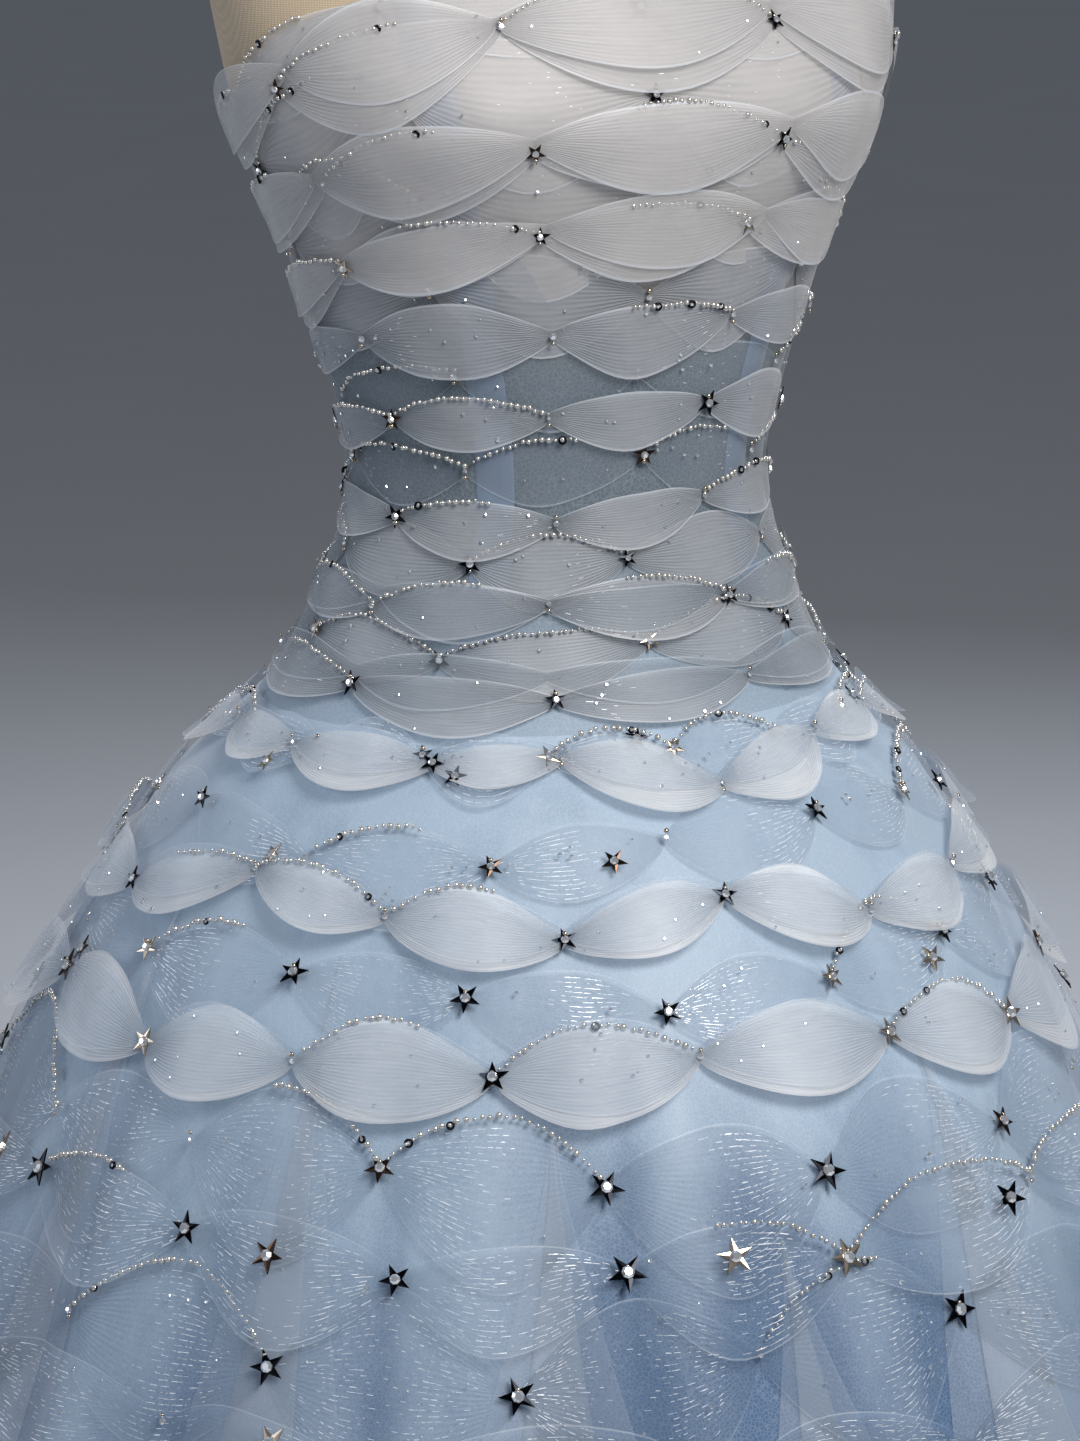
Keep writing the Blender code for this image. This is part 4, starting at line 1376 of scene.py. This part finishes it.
@dataclass
class PetalField:
    """Every chain of petals: the ones that the frame has, and sheerer ones over and between them."""

    wardrobe: Wardrobe
    gap: float = 0.0024
    clear_gap: float = 0.0014
    skirt_gap: float = 0.0040
    clear_skirt_gap: float = 0.0032
    widest_puff: float = 0.0062
    under_puff: float = 0.0004
    bodice_puff: float = 0.55
    bust_rows: int = 3
    doubled_rows: tuple[int, ...] = (0, 1, 2, 6, 7)
    between_kinds: tuple[BraidKind, ...] = (
        BraidKind.SHEER, BraidKind.SHEER, BraidKind.PEARL, BraidKind.SMOKE, BraidKind.SMOKE, BraidKind.PEARL,
        BraidKind.PEARL,
    )
    first_clear_skirt_row: int = 4
    puff_share: float = 0.075
    double_rise: float = 0.004
    double_gap: float = 0.0010
    between_sizes: dict[BraidKind, float] = field(
        default_factory=lambda: {BraidKind.SMOKE: 1.15, BraidKind.PEARL: 1.35, BraidKind.SHEER: 1.6}
    )

    def chains(self) -> list[PetalChain]:
        """Lays out every chain from the tables."""
        return [*self.bodice_chains(), *self.skirt_chains()]

    def bodice_chains(self) -> list[PetalChain]:
        """Lays out the bodice: its rows, and the ones half a pitch on between them."""
        found = []
        end = BODICE_ROW_END
        white, clear = (
            np.concatenate([[-end], np.arange(-outer, outer + 1.0, BODICE_PITCH), [end]])
            for outer in (157.5, 135.0)
        )
        for number, (height, half, puff) in enumerate(BODICE_ROWS):
            kind, second = BraidKind.PEARL, BraidKind.SMOKE
            if number < self.bust_rows:
                kind = second = BraidKind.SHEER
            puff *= self.bodice_puff
            rows = [(str(number + 1), kind, white, height, half, puff, f"bodice_chain_{number + 1}",
                     100 + number, self.gap)]
            if number in self.doubled_rows:
                rows.append((f"double_{number + 1}", second, white, height + self.double_rise, half * 0.92,
                             puff * 1.25, "", 120 + number, self.gap + self.double_gap))
            if number + 1 < len(BODICE_ROWS):
                below, between = BODICE_ROWS[number + 1], self.between_kinds[number]
                half = (half + below[1]) / 2 * self.between_sizes[between]
                rows.append((f"between_{number + 1}", between, clear, (height + below[0]) / 2, half,
                             self.under_puff, "", 150 + number, self.clear_gap))
            found += [self.bodice_chain(*row) for row in rows]
        top = self.bodice_chain("top", BraidKind.SHEER, clear, FRONT_NECK_HEIGHT - 0.004, 0.024,
                                self.under_puff, "", 149, self.clear_gap)
        return [*found, top]

    def bodice_chain(
        self, name: str, kind: BraidKind, pinches: Array, height: float, half: float, puff: float, node: str,
        seed: int, gap: float,
    ) -> PetalChain:
        """Lays out one chain round the bodice, its end petals smaller."""
        draw = np.random.default_rng(seed + 1000)
        shifts = draw.uniform(-2.6, 2.6, len(pinches))
        shifts[[0, -1]] = 0.0
        pinches = pinches + shifts
        widths = np.diff(pinches) / BODICE_PITCH
        middles = (pinches[1:] + pinches[:-1]) / 2
        share = np.where(height > WAIST_HEIGHT, FORM.neck_share(middles), 1.0)
        heights = FORM.lowered(height, pinches) + draw.uniform(-5.0, 5.0, len(pinches)) * MM
        return PetalChain(
            f"braid_bodice_{name}", Tier.BODICE, kind, pinches, heights,
            half * share * np.minimum(widths, 1.0), puff * np.minimum(widths, 1.0), False, gap, seed, node,
        )

    def skirt_chains(self) -> list[PetalChain]:
        """Lays out the skirt: the frame's rows, and clear ones half a petal on between them."""
        heights = FORM.skirt_row_heights()
        top_height = (SEAM_HEIGHT + heights[0]) / 2
        found = [
            self.skirt_chain("top", BraidKind.CLEAR, np.arange(16) * 22.5, np.full(16, top_height),
                             np.full(16, 0.019), np.full(16, 0.002), self.clear_skirt_gap, 229)
        ]
        for number, (height, (petals, first, shape)) in enumerate(zip(heights, SKIRT_ROWS)):
            label = str(number + 1)
            columns = np.array([round(i * 64 / petals) for i in range(petals + 1)])
            around = 2 * math.pi * float(read_table(GOWN_SECTIONS, 1, height)) / 64
            widths = np.diff(columns) * around
            draw = np.random.default_rng(1200 + number)
            pinches = (first + columns[:-1]) * SKIRT_COLUMN + draw.uniform(-2.8, 2.8, petals)
            levels = height + draw.uniform(-13.0, 13.0, petals) * MM
            puffs = np.minimum(widths * self.puff_share, self.widest_puff) * (0.6 if number == 0 else 1.0)
            halves = widths * shape / 2
            kind = BraidKind.WHITE if number < self.first_clear_skirt_row - 1 else BraidKind.CLEAR
            node = f"skirt_chain_{label}"
            found.append(
                self.skirt_chain(label, kind, pinches, levels, halves, puffs, self.skirt_gap,
                                 200 + number, node)
            )
            if kind is BraidKind.WHITE:
                found.append(
                    self.skirt_chain(f"double_{label}", BraidKind.CLEAR, pinches, levels + 0.003,
                                     halves * 0.85, puffs * 1.25, self.skirt_gap + self.double_gap,
                                     230 + number)
                )
            if number + 1 < len(heights):
                middle = (height + heights[number + 1]) / 2
            else:
                middle = (height + HEM_HEIGHT) / 2 + 0.01
            halfway = pinches + np.diff(columns) * SKIRT_COLUMN / 2
            levels = middle + draw.uniform(-9.0, 9.0, petals) * MM
            found.append(
                self.skirt_chain(f"between_{label}", BraidKind.CLEAR, halfway, levels, halves * 1.5,
                                 puffs * 0.12, self.clear_skirt_gap, 250 + number)
            )
        return found

    @staticmethod
    def skirt_chain(
        name: str, kind: BraidKind, pinches: Array, levels: Array, halves: Array, puffs: Array, gap: float,
        seed: int, node: str = "",
    ) -> PetalChain:
        """Lays out one closed chain round the skirt."""
        name = f"braid_skirt_{name}"
        return PetalChain(name, Tier.SKIRT, kind, pinches, levels, halves, puffs, True, gap, seed, node)


# Beads, stars and painted rib highlights


def star_points(ratio: float = 0.38, rise: float = 0.05, thick: float = 0.09) -> Shape:
    """A five-pointed star of unit radius, very slightly raised at its centre.

    Args:
        ratio: the notches' radius.
        rise: how far its centre stands up.
        thick: the edge's thickness.

    Returns:
        Its points and faces.
    """
    outline = []
    for corner in range(10):
        radius, turn = (1.0 if corner % 2 == 0 else ratio), math.radians(90 + 36 * corner)
        outline.append((radius * math.cos(turn), radius * math.sin(turn)))
    points = [(x, y, height) for height in (thick, 0.0) for x, y in outline]
    points += [(0.0, 0.0, thick + rise), (0.0, 0.0, 0.0)]
    faces = []
    for corner in range(10):
        after = (corner + 1) % 10
        low, low_after = corner + 10, after + 10
        faces += [(corner, after, 20), (low, low_after, after, corner), (low_after, low, 21)]
    return np.array(points), faces


def stacked_rings(profile: tuple[Pair, ...], sides: int, closed: bool) -> Shape:
    """Rings of points joined by quads, the last to the first as well if closed."""
    turns = [2 * math.pi * side / sides for side in range(sides)]
    points = [(size * math.cos(t), size * math.sin(t), height) for size, height in profile for t in turns]
    faces = []
    for ring in range(len(profile) - (not closed)):
        low, high = ring * sides, (ring + 1) % len(profile) * sides
        for side in range(sides):
            after = (side + 1) % sides
            faces.append((low + side, low + after, high + after, high + side))
    return np.array(points), faces


def gem_points(sides: int = 8) -> Shape:
    """A faceted stone of unit radius with a flat table."""
    points, faces = stacked_rings(((1.0, 0.0), (0.95, 0.35), (0.55, 0.75)), sides, closed=False)
    return points, [*faces, tuple(range(2 * sides, 3 * sides)), tuple(range(sides))[::-1]]


def cup_ring_points(sides: int = 10) -> Shape:
    """A small cup ring of unit radius."""
    return stacked_rings(((1.0, 0.0), (0.95, 0.45), (0.62, 0.50), (0.50, 0.12)), sides, closed=True)


@dataclass
class Scatter:
    """Places for one kind of small trim."""

    points: list[Array] = field(default_factory=list)
    facing: list[Array] = field(default_factory=list)
    spin: list[float] = field(default_factory=list)
    size: list[float] = field(default_factory=list)

    def add(self, point: Array, facing: Array, spin: float, size: float) -> None:
        """Adds one place."""
        self.points.append(np.asarray(point, float))
        self.facing.append(np.asarray(facing, float))
        self.spin.append(spin)
        self.size.append(size)

    def build(
        self, name: str, shape: Shape, finish: Material, slot: str, tree: Tree, smooth: bool = False
    ) -> Piece:
        """Copies a shape to every place.

        Args:
            name: the piece's name.
            shape: the shape's points and faces.
            finish: its material.
            slot: the record's slot, not used.
            tree: the tree that copies it.
            smooth: whether the shape is shaded smooth.

        Returns:
            The piece.
        """
        prototype = make_piece(f"{name}_shape", shape[0], shape[1], finish, smooth=smooth)
        piece = make_piece(
            name, np.array(self.points), [], finish, values={"spin": self.spin, "size": self.size}
        )
        facing = piece.data.attributes.new("facing", "FLOAT_VECTOR", "POINT")
        facing.data.foreach_set("vector", np.array(self.facing, np.float32).ravel())
        run_tree(piece, tree, {"Prototype": prototype, "Finish": finish, "Size": 1.0})
        bpy.data.objects.remove(prototype)
        return dress(piece, slot)


@dataclass
class Trims:
    """The stars, crystals, cup rings and bead threads sewn to the petals, and painted highlights on their
    ribs.

    Their places follow a plain rule and a fixed seed: a share of the pinches carry a star, and a share
    of the petals have a thread of beads on their upper edge.
    """

    wardrobe: Wardrobe
    chains: list[PetalChain]
    bodice_star: float = 0.0062
    skirt_star: float = 0.0098
    stone_share: float = 0.33
    stone_rise: float = 0.10
    bead_spacing: float = 0.0034
    smallest_bead: float = 0.0016
    largest_bead: float = 0.0033
    rib_pitch: float = 0.0029
    # How often a pinch has a star, a petal its thread and a clear petal a star of its own.
    star_chance: dict[Tier, float] = field(default_factory=lambda: {Tier.BODICE: 0.36, Tier.SKIRT: 0.60})
    thread_chance: dict[Tier, float] = field(default_factory=lambda: {Tier.BODICE: 0.60, Tier.SKIRT: 0.34})
    clear_star_chance: float = 0.32
    cup_chance: float = 0.25
    cup_step: float = 0.19
    # Tries for a petal, chance of each, highlight dashes to a rib, their spread and the longest in
    # millimetres.
    clear_highlights: tuple[int, float, int, float, float] = (2, 1.0, 6, 0.085, 5.0)
    white_highlights: tuple[int, float, int, float, float] = (1, 0.5, 1, 0.09, 2.2)

    def __post_init__(self) -> None:
        """Starts the draw and the empty scatters, and leaves out the second petals of a pair."""
        self.chains = [chain for chain in self.chains if "double" not in chain.name]
        self.draw = random.Random(SEED)
        self.metals = {name: Scatter() for name in ("champagne", "bronze", "gunmetal")}
        self.stones, self.cups, self.points, self.drops = (Scatter() for _ in range(4))
        self.threads: dict[Tier, list[Array]] = {tier: [] for tier in Tier}

    def build(self) -> list[Piece]:
        """Builds every kind of trim."""
        for chain in self.chains:
            for petal in range(len(chain.halves)):
                self.trim_pinch(chain, petal)
                self.thread_petal(chain, petal)
                self.sprinkle(chain, petal)
        copies, strings, plain = scatter_tree(), bead_tree(), self.wardrobe.plain
        star, small_gem = star_points(), gem_points(6)
        kinds = (
            (self.metals["champagne"], "stars_champagne", star, "silver", "star_metal", False),
            (self.metals["bronze"], "stars_bronze", star, "bronze", "star_metal", False),
            (self.metals["gunmetal"], "stars_gunmetal", star, "dark", "star_metal", False),
            (self.drops, "pinch_beads", small_gem, "silver", "star_metal", True),
            (self.stones, "star_crystals", gem_points(), "crystal", "bead_glass", False),
            (self.points, "pinch_crystals", small_gem, "crystal", "bead_glass", False),
            (self.cups, "cup_rings", cup_ring_points(), "dark", "star_metal", True),
        )
        pieces = [
            places.build(name, shape, plain[finish], slot, copies, smooth)
            for places, name, shape, finish, slot, smooth in kinds
        ]
        pieces += [self.build_beads(tier, lines, strings) for tier, lines in self.threads.items()]
        return [*pieces, self.build_rib_highlights()]

    def sew_star(
        self, place: Array, facing: Array, size: float, swing: float, shares: tuple[float, float, float]
    ) -> None:
        """Sews on a star with a stone at its middle.

        Args:
            place: where its back lies.
            facing: the way it faces.
            size: its radius.
            swing: how far it may be spun each way.
            shares: how often it is champagne, bronze or gunmetal.
        """
        metal = self.draw.choices(list(self.metals.values()), shares)[0]
        metal.add(place, facing, self.draw.uniform(-swing, swing), size)
        raised = place + facing * size * self.stone_rise
        self.stones.add(raised, facing, self.draw.uniform(0.0, 1.0), size * self.stone_share)

    def trim_pinch(self, chain: PetalChain, petal: int) -> None:
        """Sews a star or a small crystal over a pinch, with a metal bead beside it."""
        draw = self.draw
        if chain.tier is Tier.BODICE and abs(turned(float(chain.pinches[petal]))) > CENTRE_BACK_CLEAR:
            return
        out = FORM.outward(chain.pinches[petal], chain.heights[petal])
        tilt = units(out + np.array([draw.uniform(-0.16, 0.16) for _ in range(3)]))
        place = chain.place(petal, 0.0, 0.0, 0.0016)
        starred = draw.random() < self.star_chance[chain.tier]
        size = self.star_size(chain.tier, chain.heights[petal]) * draw.uniform(0.85, 1.15)
        if starred:
            self.sew_star(place, tilt, size, 0.5, (0.2, 0.2, 0.6))
        else:
            self.points.add(place, tilt, draw.uniform(0.0, 1.0), draw.uniform(0.0012, 0.0020))
        beside = chain.place(petal, 0.0, 0.0, 0.0018) + np.array([0.0, 0.0, draw.choice((-1, 1)) * 0.0035])
        self.drops.add(beside, tilt, 0.0, draw.uniform(0.0010, 0.0015))

    def star_size(self, tier: Tier, height: float) -> float:
        """A star's radius: small on the bodice, growing down the skirt."""
        if tier is Tier.BODICE:
            return self.bodice_star
        grown = min(max((SEAM_HEIGHT - height) / 0.25, 0.0), 1.0)
        return self.bodice_star + (self.skirt_star - self.bodice_star) * grown

    def thread_petal(self, chain: PetalChain, petal: int) -> None:
        """Runs a thread of beads along a petal's upper edge, with a few cup rings on it."""
        draw = self.draw
        wanted = draw.random() < self.thread_chance[chain.tier]
        first, last = draw.choice(((0.0, 1.0), (0.0, 1.0), (0.05, 0.62), (0.40, 1.0)))
        if not wanted:
            return
        u = np.linspace(first, last, max(int(28 * (last - first)), 6))
        self.threads[chain.tier].append(chain.place(petal, u, np.full_like(u, 1.0), 0.0012))
        for where in np.arange(first + 0.12, last, self.cup_step):
            if draw.random() < self.cup_chance:
                at = chain.place(petal, where, 0.97, 0.0010)
                out = FORM.outward(chain.pinches[petal], chain.heights[petal])
                self.cups.add(at, out, 0.0, draw.uniform(0.0019, 0.0025))
                self.stones.add(at + out * 0.0004, out, 0.0, 0.0011)

    def sprinkle(self, chain: PetalChain, petal: int) -> None:
        """Sews a few tiny crystals on a petal, and on some skirt petals a star."""
        draw = self.draw
        out = FORM.outward(chain.pinches[petal], chain.heights[petal])
        for _ in range(draw.randint(2, 6)):
            place = chain.place(petal, draw.uniform(0.08, 0.92), draw.uniform(-0.9, 0.9), 0.0004)
            self.points.add(place, out, draw.uniform(0.0, 1.0), draw.uniform(0.0006, 0.0012))
        if chain.kind is BraidKind.CLEAR and draw.random() < self.clear_star_chance:
            place = chain.place(petal, draw.uniform(0.2, 0.8), draw.uniform(-0.7, 0.7), 0.0012)
            self.sew_star(place, out, self.star_size(chain.tier, chain.heights[petal]), 0.6, (0.3, 0.2, 0.5))

    def build_beads(self, tier: Tier, lines: list[Array], tree: Tree) -> Piece:
        """Threads every bead of a tier.

        Args:
            tier: bodice or skirt.
            lines: the threads' paths.
            tree: the tree that threads them.

        Returns:
            The piece.
        """
        mesh = bpy.data.meshes.new(f"beads_{tier.value}")
        edges, start = [], 0
        for line in lines:
            edges += [(start + i, start + i + 1) for i in range(len(line) - 1)]
            start += len(line)
        mesh.from_pydata(np.concatenate(lines).tolist(), edges, [])
        piece = bpy.data.objects.new(f"beads_{tier.value}", mesh)
        bpy.context.scene.collection.objects.link(piece)
        larger = 1.0 if tier is Tier.BODICE else 1.15
        sizes = {"Spacing": self.bead_spacing, "Smallest": self.smallest_bead, "Largest": self.largest_bead}
        sizes = {name: size * larger for name, size in sizes.items()}
        run_tree(piece, tree, {"Finish": self.wardrobe.plain["bead"], "Seed": SEED, **sizes})
        return dress(piece, "bead_glass")

    def build_rib_highlights(self) -> Piece:
        """Lays painted highlights along the ribs of the petals: short bright dashes where light glints,
        coarser than life so that they show.
        """
        draw = np.random.default_rng(SEED)
        points = []
        for chain in self.chains:
            clear = chain.kind is BraidKind.CLEAR
            tries, chance, each, spread, longest = self.clear_highlights if clear else self.white_highlights
            for petal in range(len(chain.halves)):
                half = float(chain.halves[petal])
                width = half * 4.0
                ribs = np.arange(-0.9, 0.9, self.rib_pitch / half)
                for _ in range(tries):
                    if draw.random() > chance:
                        continue
                    loose = draw.uniform(-0.07, 0.07, len(ribs) * each)
                    v = np.repeat(ribs, each) + loose * self.rib_pitch / half
                    middle = draw.choice((0.28, 0.72)) + draw.uniform(-0.12, 0.12)
                    bend = draw.uniform(0.0, 0.2) * np.sign(0.5 - middle)
                    u = np.clip(middle + bend * v**2 + draw.normal(0.0, spread, len(v)), 0.03, 0.97)
                    long = draw.uniform(0.9, longest, len(v)) * MM / width
                    thin = draw.uniform(0.12, 0.26, len(v)) * MM / np.maximum(half * np.sin(np.pi * u), 0.004)
                    corners = [
                        chain.place(petal, u + side * long / 2, v + level * thin / 2, 0.0003)
                        for side, level in ((-1, -1), (1, -1), (1, 1), (-1, 1))
                    ]
                    points.append(np.stack(corners, axis=1).reshape(-1, 3))
        flat = np.concatenate(points)
        faces = [tuple(range(first, first + 4)) for first in range(0, len(flat), 4)]
        piece = make_piece("glitter_threads", flat, faces, self.wardrobe.plain["rib_highlight"], smooth=False)
        return dress(piece, "petal_braid")


# The studio

LIGHTS = (
    # name, place, side in metres, power in watts, colour
    ("key", (0.25, -2.1, 2.8), 1.1, 84.0, "#FFF8F2"),
    ("fill", (-2.8, -1.6, 1.9), 2.2, 7.5, "#EAF1FF"),
    ("back", (1.9, 2.5, 2.6), 1.5, 52.0, "#EEF4FF"),
    ("side", (-2.6, 1.5, 1.9), 1.5, 22.0, "#EEF4FF"),
)


@dataclass
class Studio:
    """A pale floor, soft lights, a plain grey backdrop of light, and the camera."""

    azimuth: float = -26.0
    distance: float = 2.6
    height: float = 1.55
    aim: float = 0.93
    lens: float = 125.0
    shift: float = -0.0069

    def build(self) -> None:
        """Builds the floor, the world, the lights and the camera."""
        self.build_floor()
        self.build_world()
        for light in LIGHTS:
            self.add_light(*light)
        self.build_camera()

    @staticmethod
    def build_floor() -> None:
        """Lays a matt pale floor."""
        side = 40.0
        points = np.array([(-side, -side, 0.0), (side, -side, 0.0), (side, side, 0.0), (-side, side, 0.0)])
        made, tree, shader = principled("floor_matt_paint", Roughness=0.9)
        cloud = noise(tree, object_place(tree), 3.0, 4.0)
        set_colour(tree, shader, mixed(tree, cloud, "#BFC2C6", "#C6C9CD"))
        make_piece("floor", points, [(0, 1, 2, 3)], made, smooth=False)

    @staticmethod
    def build_world() -> None:
        """Sets a soft grey surrounding light."""
        world = bpy.data.worlds.new("studio")
        bpy.context.scene.world = world
        world.use_nodes = True
        background = world.node_tree.nodes["Background"]
        background.inputs["Color"].default_value = linear_colour("#A9AFB8")
        background.inputs["Strength"].default_value = 0.36

    @staticmethod
    def add_light(name: str, place: tuple[float, float, float], size: float, power: float, code: str) -> None:
        """Adds a square soft light that faces the gown.

        Args:
            name: its name.
            place: where it hangs.
            size: its side in metres.
            power: its power in watts.
            code: its colour.
        """
        lamp = bpy.data.lights.new(name, "AREA")
        lamp.size, lamp.energy, lamp.color = size, power, linear_colour(code)[:3]
        light = bpy.data.objects.new(name, lamp)
        light.location = place
        light.rotation_euler = (Vector((0.0, 0.0, 0.9)) - Vector(place)).to_track_quat("-Z", "Y").to_euler()
        bpy.context.scene.collection.objects.link(light)

    def build_camera(self) -> None:
        """Sets the camera at the photograph's angle."""
        turn = math.radians(self.azimuth)
        place = Vector((math.sin(turn) * self.distance, -math.cos(turn) * self.distance, self.height))
        data = bpy.data.cameras.new("camera")
        data.lens, data.sensor_width, data.shift_x = self.lens, 36.0, self.shift
        camera = bpy.data.objects.new("camera", data)
        camera.location = place
        camera.rotation_euler = (Vector((0.0, 0.0, self.aim)) - place).to_track_quat("-Z", "Y").to_euler()
        bpy.context.scene.collection.objects.link(camera)
        bpy.context.scene.camera = camera
        bpy.context.scene.view_settings.view_transform = "Standard"


def main() -> None:
    """Builds the gown on its form."""
    logging.basicConfig(level=logging.INFO, format="%(name)s: %(message)s")
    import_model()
    Studio().build()
    wardrobe = Wardrobe()
    form = DressForm(wardrobe).build()
    bodice = Bodice(wardrobe).build()
    skirt = Skirt(wardrobe).build()
    chains = PetalField(wardrobe).chains()
    petals = [chain.build(wardrobe, bodice[0] if chain.tier is Tier.BODICE else skirt[0]) for chain in chains]
    trims = Trims(wardrobe, chains).build()
    pieces = (*form, *bodice, *skirt, *petals, *trims)
    for piece in pieces:
        LOG.info("%s: %d triangles", piece.name, triangle_count(piece))
    LOG.info("all: %d triangles", sum(map(triangle_count, pieces)))


if __name__ == "__main__":
    main()
